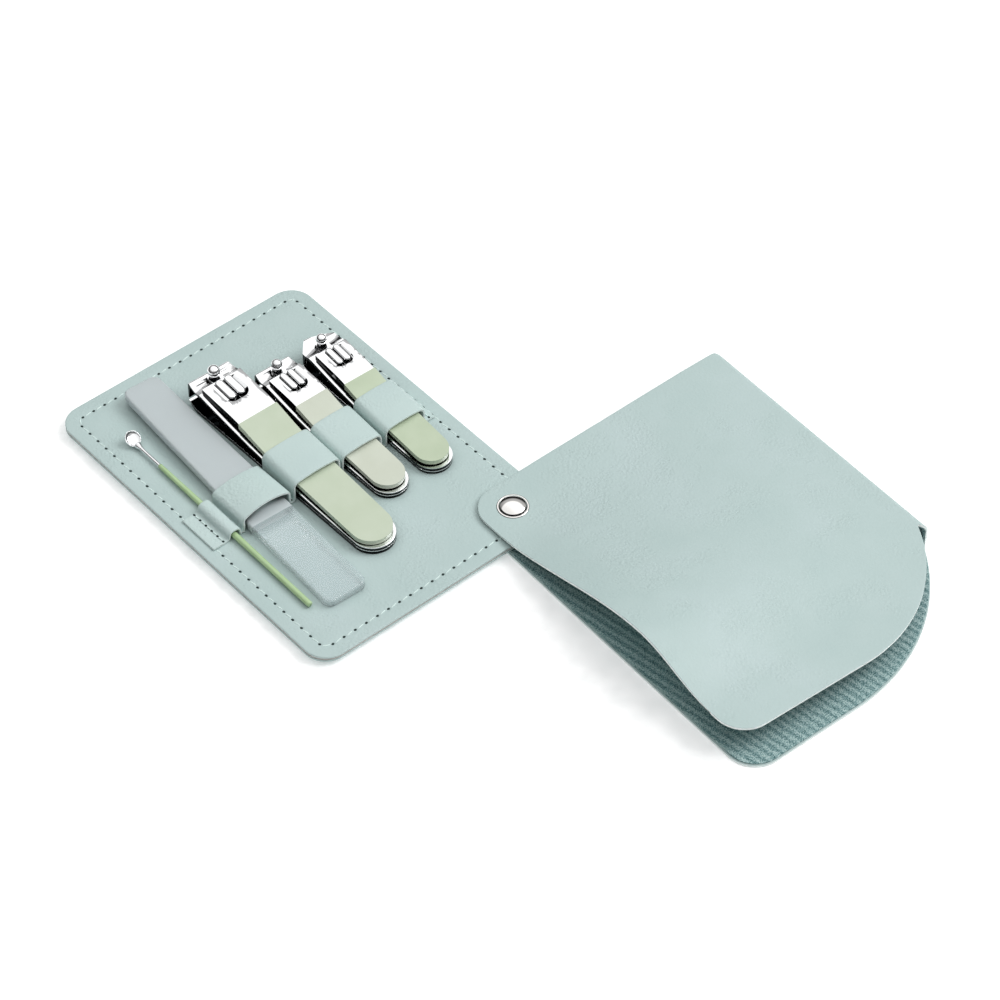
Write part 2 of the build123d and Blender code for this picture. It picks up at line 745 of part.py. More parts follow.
def clipperRivet(sizes):
    """The tail rivet that joins the arms, its lower head sunk in the lower arm."""
    thick = sizes["armThick"]
    radius = sizes["rivetRadius"]
    piece = Pos(0, 0, thick) * Cylinder(radius * rivetNeck, 2 * thick)
    piece += Pos(0, 0, rivetHeadThick / 2) * Cylinder(radius, rivetHeadThick)
    return Pos(0, sizes["joinLength"] / 2, 0) * piece


def clipper(name, at, sizes):
    """Every piece of one clipper, placed on the card."""
    place = Pos(at[0], at[1], toolRest) * Rot(0, 0, sizes["yaw"])
    pieces = {
        "lower_arm": lowerArm(sizes),
        "upper_arm": upperArm(sizes),
        "lever": clipperLever(sizes),
        "lever_enamel": clipperEnamel(sizes),
        "pin": clipperPin(sizes),
        "tail_rivet": clipperRivet(sizes),
    }
    return {name + "_" + key: place * piece for key, piece in pieces.items()}


def build():
    """All pieces by name."""
    pieces = {}
    pieces.update(cover())
    pieces.update(rivet())
    pieces.update(card())
    pieces["tool_band"] = toolBand()
    pieces["ear_pick_loop"] = earPickLoop()
    pieces.update(earPick())
    pieces.update(glassFile())
    for name, clip in clippers.items():
        pieces.update(clipper(name, **clip))
    return pieces


os.makedirs("parts", exist_ok=True)
for nodeName, solid in build().items():
    export_step(solid, "parts/" + nodeName + ".step")
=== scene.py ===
import bpy
import math
import numpy as np
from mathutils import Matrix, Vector


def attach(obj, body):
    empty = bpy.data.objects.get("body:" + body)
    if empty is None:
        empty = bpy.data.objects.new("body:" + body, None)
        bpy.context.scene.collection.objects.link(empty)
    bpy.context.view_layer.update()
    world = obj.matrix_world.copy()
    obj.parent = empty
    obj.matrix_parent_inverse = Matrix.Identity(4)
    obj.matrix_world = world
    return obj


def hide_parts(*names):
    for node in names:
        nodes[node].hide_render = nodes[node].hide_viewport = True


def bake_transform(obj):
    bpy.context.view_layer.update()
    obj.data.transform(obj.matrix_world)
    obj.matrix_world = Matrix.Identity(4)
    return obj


# Manicure set case. Lengths are in millimetres until a mesh is made, then metres.
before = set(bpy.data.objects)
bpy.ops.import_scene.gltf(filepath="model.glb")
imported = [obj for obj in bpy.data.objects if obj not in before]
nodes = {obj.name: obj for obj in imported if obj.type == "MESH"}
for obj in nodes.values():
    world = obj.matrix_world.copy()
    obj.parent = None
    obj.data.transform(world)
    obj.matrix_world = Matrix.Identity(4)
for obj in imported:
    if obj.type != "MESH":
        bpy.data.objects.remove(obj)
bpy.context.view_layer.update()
scene = bpy.context.scene
print("frame loaded:", len(nodes), "nodes")


def linearColour(hexText):
    # an sRGB hex value turned to linear red, green, blue and full alpha
    values = [int(hexText[i:i + 2], 16) / 255 for i in (1, 3, 5)]
    return [v / 12.92 if v <= 0.04045 else ((v + 0.055) / 1.055) ** 2.4 for v in values] + [1.0]


def feed(tree, node, links):
    # joins a node's inputs, by name or number, to sockets, or to the first outputs of other nodes
    for key, source in links.items():
        socket = source.outputs[0] if isinstance(source, bpy.types.Node) else source
        tree.links.new(socket, node.inputs[key])


def addNode(tree, kind, settings=None, links=None, stops=()):
    # one node: settings go to its properties or, by name or number, to its inputs; links feed its inputs;
    # stops are a colour ramp's (place, hex colour)
    node = tree.nodes.new("ShaderNode" + kind)
    for key, value in (settings or {}).items():
        if isinstance(key, int) or key in node.inputs:
            node.inputs[key].default_value = value
        else:
            setattr(node, key, value)
    feed(tree, node, links or {})
    for n, (place, colour) in enumerate(stops):
        elements = node.color_ramp.elements
        element = elements[n] if n < len(elements) else elements.new(place)
        element.position = place
        element.color = linearColour(colour)
    return node


def newMaterial(name, settings):
    # a principled material with its even values set, and the Object coordinates that its patterns read
    material = bpy.data.materials.new(name)
    material.use_nodes = True
    tree = material.node_tree
    tree.nodes.clear()
    shader = addNode(tree, "BsdfPrincipled", settings)
    addNode(tree, "OutputMaterial", links={"Surface": shader})
    return material, tree, shader, addNode(tree, "TexCoord").outputs["Object"]


def paintedNookShade(tree, colour, reach, dark, fromTo):
    # painted shade: the colour made darker where surfaces lie within reach (mm) of one another
    nook = addNode(tree, "AmbientOcclusion", {"Distance": reach / 1000, "samples": 8})
    share = addNode(tree, "MapRange", {"From Min": fromTo[0], "From Max": fromTo[1], "To Min": dark},
                    {"Value": nook.outputs["AO"]})
    return addNode(tree, "Mix", {"data_type": "RGBA", "blend_type": "MULTIPLY", 0: 1.0},
                   {6: colour, 7: share}).outputs[2]


leatherette = dict(
    colour="#B2C5C3",
    dark="#AEC2C0",
    light="#B6C8C7",
    roughness=0.5,
    mottle=26.0,  # mm across one cloud of the colour
    patch=14.0,  # mm across one patch where the grain stands out
    grain=0.8,  # mm across one pebble of the embossed grain, drawn coarser than the real 0.5 so that it shows
    grit=0.22,  # mm across one grain between the pebbles
    gritShare=0.35,  # of the pebbles' height
    grainDepth=0.17,  # mm
)
# a lighter copy of the same leatherette for the straps: painted light on their raised tops
litStrapLeatherette = dict(leatherette, colour="#BCCFCC", dark="#B8CBC9", light="#C0D2D0")


def leatheretteMaterial(name, values):
    # polyurethane leatherette, embossed and calendered: soft pebbles, a satin highlight, no gloss
    material, tree, shader, place = newMaterial(name, {
        "Roughness": values["roughness"], "IOR": 1.5, "Sheen Weight": 0.06, "Sheen Roughness": 0.5})
    cloud = addNode(tree, "TexNoise", {"Scale": 1000 / values["mottle"], "Detail": 3.0, "Roughness": 0.55},
                    {"Vector": place})
    colour = addNode(tree, "ValToRGB", links={0: cloud}, stops=[
        (0.32, values["dark"]), (0.52, values["colour"]), (0.72, values["light"])])
    patch = addNode(tree, "TexNoise", {"Scale": 1000 / values["patch"], "Detail": 3.0, "Roughness": 0.6},
                    {"Vector": place})
    relief = addNode(tree, "MapRange", {"interpolation_type": "SMOOTHSTEP", "From Min": 0.45,
                                        "From Max": 0.65, "To Min": 0.25}, {"Value": patch})
    pebble = addNode(tree, "TexVoronoi", {"feature": "SMOOTH_F1", "Scale": 1000 / values["grain"],
                                          "Smoothness": 0.6}, {"Vector": place})
    grit = addNode(tree, "TexNoise", {"Scale": 1000 / values["grit"], "Detail": 2.0}, {"Vector": place})
    height = addNode(tree, "Math", {"operation": "MULTIPLY_ADD", 1: values["gritShare"]},
                     {0: grit, 2: pebble})
    bump = addNode(tree, "Bump", {"Distance": values["grainDepth"] / 1000},
                   {"Strength": relief, "Height": height})
    feed(tree, shader, {"Base Color": colour, "Normal": bump})
    return material


lining = dict(
    dark="#3F6264",
    colour="#789B9C",
    light="#BAD0CE",
    rib=2.4,  # mm between two ribs
    ribTurn=8.7,  # degrees between the ribs and the spine
    ribShare=0.12,  # of the ribs in the pattern, beside the flecks
    yarn=0.377,  # mm across one fleck of the mixed yarn
    relief=0.12,  # mm
    paintedShadeReach=13.0,  # mm; painted shade: the lining is darkened, down to the share below, where the flap and the fold stand this near
    shade=0.75,
)


def liningMaterial(name, values):
    # ribbed polyester lining of mixed yarn, woven: matt, flecked light and dark, ribs along the spine
    material, tree, shader, place = newMaterial(name, {
        "Roughness": 0.9, "Sheen Weight": 0.2, "Sheen Roughness": 0.4})
    fleck = addNode(tree, "TexNoise", {"Scale": 1000 / values["yarn"], "Detail": 2.0, "Roughness": 0.7},
                    {"Vector": place})
    across = addNode(tree, "Mapping", {"Rotation": (0.0, 0.0, -math.radians(values["ribTurn"]))},
                     {"Vector": place})
    ribScale = 1000 / values["rib"] / 10 * math.pi  # a wave's bands lie pi / 10 / scale apart
    rib = addNode(tree, "TexWave",
                  {"wave_type": "BANDS", "bands_direction": "X", "Scale": ribScale, "Distortion": 0.4,
                   "Detail": 1.0, "Detail Scale": 2.0}, {"Vector": across})
    mixed = addNode(tree, "Math", {"operation": "MULTIPLY_ADD", 1: values["ribShare"]},
                    {0: rib.outputs["Fac"], 2: fleck})
    colour = addNode(tree, "ValToRGB", links={0: mixed}, stops=[
        (0.40, values["dark"]), (0.54, values["colour"]), (0.70, values["light"])])
    # painted shade under the flap and deep in the fold
    colour = paintedNookShade(tree, colour, values["paintedShadeReach"], values["shade"], (0.1, 0.75))
    bump = addNode(tree, "Bump", {"Strength": 0.7, "Distance": values["relief"] / 1000}, {"Height": mixed})
    feed(tree, shader, {"Base Color": colour, "Normal": bump})
    return material


cutEdges = dict(
    # the leatherette's pale core, raised to near white: partly its own colour, partly a painted highlight
    # along the lit edge
    leatherette=("#F6FAF9", "#E2EDEB"),
    board=("#BBB6B2", "#A19D99"),
    fuzz=0.8,  # mm across one tuft
    relief=0.1,  # mm
)


def cutEdgeMaterial(name, colour, deep):
    # knife-cut edge of coated cloth or board: the core shows, matt and slightly fuzzy
    material, tree, shader, place = newMaterial(name, {"Roughness": 0.85})
    fuzz = addNode(tree, "TexNoise", {"Scale": 1000 / cutEdges["fuzz"], "Detail": 4.0}, {"Vector": place})
    shade = addNode(tree, "ValToRGB", links={0: fuzz}, stops=[(0.35, deep), (0.65, colour)])
    bump = addNode(tree, "Bump", {"Strength": 0.6, "Distance": cutEdges["relief"] / 1000}, {"Height": fuzz})
    feed(tree, shader, {"Base Color": shade, "Normal": bump})
    return material


plate = dict(
    colour="#F6F7F8",
    paintedDark="#0B0E10",  # painted shade and painted reflection of the dark room, on nooks and side walls
    paintedDarkTo=(0.22, 0.56),  # lit share (nook times upward facing) at which plate is still painted dark, and at which it shows its full colour
    haze=6.0,  # mm across one cloud of the haze
    lines=(900.0, 60.0, 900.0),  # stretch of the buffing lines, 0.4 mm apart and 6 mm long
    relief=0.05,  # mm
)


def chromeMaterial(name, colour, roughness, reach, turnsBright):
    # chrome plate on pressed steel: the tops are a near mirror with faint haze and fine buffing lines;
    # the edges, slots, side walls and corners are painted dark: painted shade in the nooks, and a painted
    # reflection of the dark room on faces that turn away from the sky.
    # reach: how near (mm) another surface makes a nook of painted shade; turnsBright: the upward part of the
    # normal at which a face is still painted dark, and at which it shows its full colour
    material, tree, shader, place = newMaterial(name, {"Metallic": 1.0})
    haze = addNode(tree, "TexNoise", {"Scale": 1000 / plate["haze"], "Detail": 4.0}, {"Vector": place})
    rough = addNode(tree, "MapRange", {"From Min": 0.3, "From Max": 0.7, "To Min": roughness * 0.6,
                                       "To Max": roughness * 1.5}, {"Value": haze})
    lines = addNode(tree, "Mapping", {"Scale": plate["lines"]}, {"Vector": place})
    buffed = addNode(tree, "TexNoise", {"Scale": 3.0, "Detail": 3.0}, {"Vector": lines})
    bump = addNode(tree, "Bump", {"Strength": 0.03, "Distance": plate["relief"] / 1000}, {"Height": buffed})
    # painted shade: darker within reach of another surface; painted reflection of the dark room: darker as
    # the face turns from the sky
    nook = addNode(tree, "AmbientOcclusion", {"Distance": reach / 1000, "samples": 8})
    normal = addNode(tree, "SeparateXYZ", links={0: addNode(tree, "TexCoord").outputs["Normal"]})
    upward = addNode(tree, "MapRange", {"interpolation_type": "SMOOTHSTEP", "From Min": turnsBright[0],
                                        "From Max": turnsBright[1]}, {"Value": normal.outputs["Z"]})
    bright = addNode(tree, "Math", {"operation": "MULTIPLY"}, {0: nook.outputs["AO"], 1: upward})
    shade = addNode(tree, "ValToRGB", links={0: bright}, stops=[
        (plate["paintedDarkTo"][0], plate["paintedDark"]), (plate["paintedDarkTo"][1], colour)])
    feed(tree, shader, {"Base Color": shade, "Roughness": rough, "Normal": bump})
    return material


enamel = dict(
    cloud=9.0,  # mm across one cloud of the colour
    peel=0.7,  # mm across one dimple of the orange peel
    relief=0.04,  # mm
)


def enamelMaterial(name, colour, light, roughness):
    # stoving enamel sprayed on steel: even colour, satin, with a faint orange peel
    material, tree, shader, place = newMaterial(name, {
        "Roughness": roughness, "IOR": 1.5, "Coat Weight": 0.15, "Coat Roughness": 0.2})
    cloud = addNode(tree, "TexNoise", {"Scale": 1000 / enamel["cloud"], "Detail": 2.0}, {"Vector": place})
    shade = addNode(tree, "ValToRGB", links={0: cloud}, stops=[(0.35, colour), (0.7, light)])
    peel = addNode(tree, "TexNoise", {"Scale": 1000 / enamel["peel"], "Detail": 2.0}, {"Vector": place})
    bump = addNode(tree, "Bump", {"Strength": 0.15, "Distance": enamel["relief"] / 1000}, {"Height": peel})
    feed(tree, shader, {"Base Color": shade, "Normal": bump})
    return material


glass = dict(
    clear="#E4F5F7",
    etched="#DDE7E9",
    start=(-56.2, 4.0),  # middle of the clear end, and the file's direction from it
    turn=-2.3,
    etchFrom=35.2,  # mm from the clear end to the etching
    etchSoft=0.7,
    etchGrain=0.25,  # mm, drawn coarser than the real 0.1 so that it shows
    relief=0.03,  # mm
    paintedShadeReach=3.0,  # mm; painted shade where the strap and the card stand this near the glass
    milk=(0.7, 0.62),  # share of light that the skin scatters back, at the clear end and on the etching
    seen=(0.4, 1.0),  # share of the light that meets the faces; the rest goes straight through
    roughness=(0.02, 0.5),
)


def glassMaterial(name, values):
    # toughened glass, ground and fire-polished: clear and glossy at the held end; the filing faces are
    # acid-etched, so past the edge of the etch they are milky and matt
    material, tree, shader, place = newMaterial(name, {"IOR": 1.5})
    turn = math.radians(values["turn"])
    along = addNode(tree, "VectorMath",
                    {"operation": "DOT_PRODUCT", 1: (-math.sin(turn), math.cos(turn), 0.0)}, {0: place})
    offset = values["start"][1] * math.cos(turn) - values["start"][0] * math.sin(turn)
    edge = (values["etchFrom"] + offset) / 1000
    etched = addNode(tree, "MapRange", {"interpolation_type": "SMOOTHSTEP", "From Min": edge,
                                        "From Max": edge + values["etchSoft"] / 1000},
                     {"Value": along.outputs["Value"]})
    through = [1 - milk for milk in values["milk"]]
    for key, (clear, matt) in (("Transmission Weight", through), ("Alpha", values["seen"]),
                               ("Roughness", values["roughness"])):
        feed(tree, shader, {key: addNode(tree, "MapRange", {"To Min": clear, "To Max": matt},
                                         {"Value": etched})})
    etch = addNode(tree, "TexNoise", {"Scale": 1000 / values["etchGrain"], "Detail": 3.0}, {"Vector": place})
    depth = addNode(tree, "Math", {"operation": "MULTIPLY"}, {0: etch, 1: etched})
    bump = addNode(tree, "Bump", {"Strength": 0.4, "Distance": values["relief"] / 1000}, {"Height": depth})
    colour = addNode(tree, "ValToRGB", links={0: etched}, stops=[
        (0.0, values["clear"]), (1.0, values["etched"])])
    # painted shade under the strap and along the sides, where the card is near
    colour = paintedNookShade(tree, colour, values["paintedShadeReach"], 0.15, (0.35, 0.85))
    feed(tree, shader, {"Base Color": colour, "Normal": bump})
    return material


thread = dict(colour="#DCEEEA", twist=0.3, relief=0.05)  # twist and relief in mm


def threadMaterial(name):
    # bonded polyester sewing thread: pale, soft sheen
    material, tree, shader, place = newMaterial(name, {
        "Base Color": linearColour(thread["colour"]), "Roughness": 0.55, "Sheen Weight": 0.3})
    twist = addNode(tree, "TexNoise", {"Scale": 1000 / thread["twist"], "Detail": 2.0}, {"Vector": place})
    bump = addNode(tree, "Bump", {"Strength": 0.5, "Distance": thread["relief"] / 1000}, {"Height": twist})
    feed(tree, shader, {"Normal": bump})
    return material


hole = dict(dark="#0E1C1A", light="#223634", patch=0.6)  # patch in mm; both colours are painted shade that stands for the dark pit


def holeMaterial(name):
    # needle hole punched through leatherette: painted shade, nearly black and matt, stands for the shadow in
    # the pit
    material, tree, shader, place = newMaterial(name, {"Roughness": 0.9})
    patch = addNode(tree, "TexNoise", {"Scale": 1000 / hole["patch"]}, {"Vector": place})
    shade = addNode(tree, "ValToRGB", links={0: patch}, stops=[(0.3, hole["dark"]), (0.7, hole["light"])])
    feed(tree, shader, {"Base Color": shade})
    return material


skin = leatheretteMaterial("leatherette_embossed", leatherette)
litStrapSkin = leatheretteMaterial("leatherette_strap_painted_light", litStrapLeatherette)
cutEdge = cutEdgeMaterial("leatherette_cut_edge", *cutEdges["leatherette"])
boardEdge = cutEdgeMaterial("grey_board_cut_edge", *cutEdges["board"])
liningCloth = liningMaterial("lining_ribbed_woven", lining)
# each plate below gets painted shade in its nooks and a painted dark reflection on faces turned from the sky
chrome = chromeMaterial("chrome_plate_buffed", plate["colour"], 0.06, 1.8, (0.05, 0.4))
armChrome = chromeMaterial("chrome_plate_pressed", plate["colour"], 0.08, 1.1, (0.05, 0.4))
pinChrome = chromeMaterial("chrome_plate_turned", plate["colour"], 0.2, 0.7, (-0.75, -0.3))
pickSteel = chromeMaterial("stainless_steel_polished", "#EDEEEF", 0.08, 0.05, (-1.6, -1.2))
rivetChrome = chromeMaterial("nickel_plate_polished", "#EFEDEA", 0.05, 0.8, (0.5, 0.72))
enamelGreen = enamelMaterial("enamel_pale_green", "#BCC8B1", "#C2CDB8", 0.38)
enamelBeige = enamelMaterial("enamel_pale_beige", "#C5CBBB", "#CBD1C2", 0.38)
enamelSage = enamelMaterial("enamel_pale_sage", "#B5C3A8", "#BCC9AF", 0.38)
gripEnamel = enamelMaterial("enamel_grip_green", "#AAC795", "#B4CFA0", 0.25)
etchedGlass = glassMaterial("glass_toughened_etched", glass)
threadPale = threadMaterial("thread_polyester")
needleHoleShade = holeMaterial("needle_hole")
print("materials ready")


def makeObject(name, points, faces, materials, slots=None):
    # a smooth mesh object from points in millimetres, its quads, and each face's material number
    mesh = bpy.data.meshes.new(name)
    mesh.from_pydata((np.asarray(points) / 1000).tolist(), [], faces.tolist())
    mesh.polygons.foreach_set("use_smooth", np.full(len(faces), True))
    for material in materials:
        mesh.materials.append(material)
    if slots is not None:
        mesh.polygons.foreach_set("material_index", slots)
    mesh.update()
    thing = bpy.data.objects.new(name, mesh)
    scene.collection.objects.link(thing)
    return thing


def gridFaces(rows, columns, wrap=False):
    # quads of a grid whose points run row by row; wrap joins each row's last point to its first
    r = np.arange(rows - 1)[:, None]
    c = np.arange(columns if wrap else columns - 1)[None, :]
    n = (c + 1) % columns
    quads = [r * columns + c, r * columns + n, (r + 1) * columns + n, (r + 1) * columns + c]
    return np.stack(quads, -1).reshape(-1, 4)


def repeatedFaces(faces, number, points):
    # the faces of one small shape with that many points, for a number of such shapes
    return (faces[None] + (np.arange(number) * points)[:, None, None]).reshape(-1, 4)


def joinedMeshes(parts):
    # the points and the faces of several (points, faces) as one mesh
    starts = np.cumsum([0] + [len(points) for points, faces in parts])
    return (np.concatenate([points for points, faces in parts]),
            np.concatenate([faces + start for (points, faces), start in zip(parts, starts)]))


def gridNormals(grid):
    # unit normals of a grid of points, from its two differences
    normal = np.cross(np.gradient(grid, axis=1), np.gradient(grid, axis=0))
    return normal / np.maximum(np.linalg.norm(normal, axis=-1, keepdims=True), 1e-9)


def facingUp(grid):
    # the same grid, its columns reversed where that turns its face up
    return grid if gridNormals(grid)[..., 2].sum() > 0 else grid[:, ::-1]


def borderOf(rows, columns):
    # point numbers once round a grid's border, along the first row first
    last = (rows - 1) * columns
    return np.concatenate([np.arange(columns), np.arange(1, rows) * columns + columns - 1,
                           last + np.arange(columns - 2, -1, -1), np.arange(rows - 2, 0, -1) * columns])


def closedSheet(name, gridAt, thickness, ease, materials, place=None):
    # a closed sheet: gridAt(inset) is its top, whose outline draws in by the inset; rings round both edges,
    # inset = ease * (1 - sin a) and depth = ease * (1 - cos a), and the bottom lies a thickness lower
    angle = np.radians([0, 30, 60, 90])
    depths = ease * (1 - np.cos(angle))
    insets = np.concatenate([ease * (1 - np.sin(angle)), ease * (1 - np.sin(angle[::-1]))])
    depths = np.concatenate([depths, thickness - depths[::-1]])
    grids = [facingUp(gridAt(inset)) for inset in insets]
    layers = [(grid - gridNormals(grid) * depth).reshape(-1, 3) for grid, depth in zip(grids, depths)]
    rows, columns = grids[0].shape[:2]
    border = borderOf(rows, columns)
    points = np.concatenate([layers[0]] + [layer[border] for layer in layers[1:-1]] + [layers[-1]])
    between = [len(layers[0]) + n * len(border) + np.arange(len(border)) for n in range(len(layers) - 2)]
    bottom = len(points) - len(layers[-1])
    rings = np.array([border] + between + [bottom + border])
    after = np.roll(rings, -1, axis=1)
    rim = np.stack([after[:-1], rings[:-1], rings[1:], after[1:]], -1)
    flat = gridFaces(rows, columns)
    faces = np.concatenate([flat, flat[:, ::-1] + bottom, rim.reshape(-1, 4)])
    slots = np.zeros(len(faces), int)
    if len(materials) > 1:  # the second material shows on the straight middle of the rim
        slots[2 * len(flat):].reshape(rim.shape[:2])[len(angle) - 1] = 1
    return makeObject(name, points if place is None else place(points), faces, materials, slots)


def smoothRamp(part):
    # S-shaped ramp from 0 to 1
    part = np.clip(part, 0, 1)
    return part * part * (3 - 2 * part)


def turned(points, degrees):
    # turned about the rivet's axis
    c, s = math.cos(math.radians(degrees)), math.sin(math.radians(degrees))
    return np.stack([points[..., 0] * c - points[..., 1] * s, points[..., 0] * s + points[..., 1] * c,
                     points[..., 2]], -1)


def arcPoints(centre, radius, first, last, count):
    # points on an arc between two angles in degrees
    angle = np.radians(np.linspace(first, last, count))
    return np.stack([centre[0] + radius * np.cos(angle), centre[1] + radius * np.sin(angle)], -1)


# Cover: a lined leatherette blank, folded at the spine, in a frame of its own with the spine along Y.
leaf = dict(
    turn=-2.0,  # degrees about the rivet
    top=9.4,
    side=-9.8,
    low=-112.4,
    spine=84.6,
    spineEnd=-79.6,
    curveStart=28.0,  # x where the low edge begins to sweep up, and y where the sweep meets the fold
    curveStop=-81.6,
    corner=9.0,
    spineCorner=3.0,
    foldHeight=7.6,
    foldCorner=2.6,
    shell=0.8,
    lining=0.4,
    edge=0.1,  # round of the cut edges
    liningInset=0.45,
    liningAir=0.03,  # kept between the upper leaf and its lining
    pressed=(0.05, 0.02),  # how much thinner the glued cloth is on the upper and on the lower leaf
    clampTop=4.8,
    clampReach=11.0,  # how far from the rivet the leaf lies flat on the card
    crest=18.8,  # height of the wave at the open edge, and where along it
    crestAt=67.0,
    riseStart=2.0,
    fallLength=28.0,
    endLift=11.7,  # height at the corner after the wave
    bow=1.3,  # power that the climb from the spine to the open edge follows
    pastEdge=6.0,  # the climb would end this far past the open edge
    pull=5.4,  # how far the wave draws the upper leaf's low edge in
    flapCurveStart=36.0,
    flapCurveStop=-77.8,
    uneven=0.16,  # height of the slow waves that handling leaves, and how they run across and along
    unevenAcross=(13.0, 1.1),
    unevenAlong=(17.0, 0.4),
    unevenFrom=(30.0, 0.125),  # they grow over this far from the rivet, and this share of the way to the edge
    foldPoints=12,
    upperPoints=(110, 150),
    lowerPoints=(90, 100),
)


def leafEdges(x, inset, low, curveStart, curveStop):
    # y of the top edge and of the low edge at x: rounded corners, and an arc that sweeps up to the spine
    top = leaf["top"] - inset
    low = low + inset
    side = leaf["side"] + inset
    radius = leaf["corner"] - inset
    fold = leaf["spine"] - leaf["foldCorner"]
    near = np.clip(side + radius - x, 0, radius)  # how far x is inside the rounded side
    drop = radius - np.sqrt(np.maximum(radius**2 - near**2, 0))
    spineRadius = leaf["spineCorner"]
    far = np.clip(x - (leaf["spine"] - spineRadius), 0, spineRadius)
    topEdge = top - drop - (spineRadius - np.sqrt(np.maximum(spineRadius**2 - far**2, 0)))
    wide, high = fold - curveStart, curveStop + inset - low
    bend = (wide**2 + high**2) / (2 * high)
    run = np.clip(x - curveStart, 0, wide)
    lowEdge = low + drop + bend - np.sqrt(bend**2 - run**2)
    past = np.clip((x - fold) / (leaf["spine"] - fold), 0, 1)
    return topEdge, lowEdge + past * (leaf["spineEnd"] - curveStop)


def leafStations(first, last, count):
    # x stations packed closely towards the rounded side
    part = np.linspace(0, 1, count)
    return first + (last - first) * (1 - np.cos(part * math.pi / 2))


def openEdgeTop(y):
    # height of the upper leaf's top along its open edge: it climbs in a wave, then settles
    rise = smoothRamp((-y - leaf["riseStart"]) / (leaf["crestAt"] - leaf["riseStart"]))
    fall = smoothRamp((-y - leaf["crestAt"]) / leaf["fallLength"])
    clamp, crest = leaf["clampTop"], leaf["crest"]
    return clamp + (crest - clamp) * rise - (crest - leaf["endLift"]) * fall


def upperLeafGrid(inset):
    # fold and upper leaf: across runs from under the spine round the fold to the open edge,
    # height = fold height + (open edge height - fold height) * share to the power of the bow
    bend = leaf["foldCorner"]
    fold = leaf["spine"] - bend
    angle = np.linspace(0, math.pi / 2, leaf["foldPoints"])
    foldX = fold + bend * np.concatenate([np.sin(angle), np.cos(angle)])
    foldZ = np.concatenate([bend - bend * np.cos(angle), leaf["foldHeight"] - bend + bend * np.sin(angle)])
    across, along = leaf["upperPoints"]
    flatX = leafStations(leaf["side"] + inset, fold, across)[::-1][1:]
    x = np.concatenate([foldX, flatX])
    topEdge, lowEdge = leafEdges(x, inset, leaf["low"] + leaf["pull"], leaf["flapCurveStart"],
                                 leaf["flapCurveStop"])
    underEdge = leafEdges(x, inset, leaf["low"], leaf["curveStart"], leaf["curveStop"])[1]
    lowEdge = np.where(np.arange(len(x)) < len(angle), underEdge, lowEdge)
    y = topEdge[:, None] + (lowEdge - topEdge)[:, None] * np.linspace(0, 1, along)
    share = np.clip((fold - x) / (fold - leaf["side"] + leaf["pastEdge"]), 0, 1)[:, None]
    lift = openEdgeTop(y) - leaf["foldHeight"]
    high = leaf["foldHeight"] + np.where(lift > 0, lift * share**leaf["bow"], lift * smoothRamp(share))
    away = np.hypot(x[:, None], y)
    hold = np.exp(-(away / leaf["clampReach"]) ** 2)
    high = high * (1 - hold) + leaf["clampTop"] * hold
    (waveX, shiftX), (waveY, shiftY) = leaf["unevenAcross"], leaf["unevenAlong"]
    slow = leaf["uneven"] * np.sin(x[:, None] / waveX + shiftX) * np.sin(y / waveY + shiftY)
    far, climbed = leaf["unevenFrom"]
    high = high + slow * smoothRamp(away / far) * smoothRamp(share / climbed)
    z = np.where(np.arange(len(x))[:, None] < len(foldX), np.concatenate([foldZ, flatX * 0])[:, None], high)
    return np.stack([np.broadcast_to(x[:, None], y.shape), y, z], -1)


def lowerLeafGrid(inset, height):
    # the flat lower leaf up to the fold
    across, along = leaf["lowerPoints"]
    x = leafStations(leaf["side"] + inset, leaf["spine"] - leaf["foldCorner"], across)
    topEdge, lowEdge = leafEdges(x, inset, leaf["low"], leaf["curveStart"], leaf["curveStop"])
    y = topEdge[:, None] + (lowEdge - topEdge)[:, None] * np.linspace(0, 1, along)
    return np.stack([np.broadcast_to(x[:, None], y.shape), y, np.full(y.shape, height)], -1)


def buildCover():
    shell, cloth, edge = leaf["shell"], leaf["lining"], leaf["edge"]
    upperPress, lowerPress = leaf["pressed"]

    def placed(points):
        return turned(points, leaf["turn"])

    def sunk(gridAt, depth):
        # the same surface, its outline inside the lining's border, let down by a depth
        def grid(inset):
            top = facingUp(gridAt(inset + leaf["liningInset"]))
            return top - gridNormals(top) * depth
        return grid

    def leafAt(height):
        return lambda inset: lowerLeafGrid(inset, height)

    upper = closedSheet("cover_upper_leaf", upperLeafGrid, shell, edge, [skin, cutEdge], placed)
    upperCloth = closedSheet("cover_upper_lining", sunk(upperLeafGrid, shell + leaf["liningAir"]),
                             cloth - upperPress, edge, [liningCloth], placed)
    lower = closedSheet("cover_lower_leaf", leafAt(shell), shell, edge, [skin, cutEdge], placed)
    lowerCloth = closedSheet("cover_lower_lining", sunk(leafAt(shell + cloth), 0),
                             cloth - lowerPress, edge, [liningCloth], placed)
    return upper, upperCloth, lower, lowerCloth


upperLeaf, upperLining, lowerLeaf, lowerLining = buildCover()
for piece in (upperLeaf, upperLining):
    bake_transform(piece)
for piece in (lowerLeaf, lowerLining):
    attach(piece, "cover")
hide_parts("flap_shell", "flap_corner_shell")
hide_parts("flap_lining", "flap_corner_lining")
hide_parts("base_leaf_shell")
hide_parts("base_leaf_lining")
print("cover built")


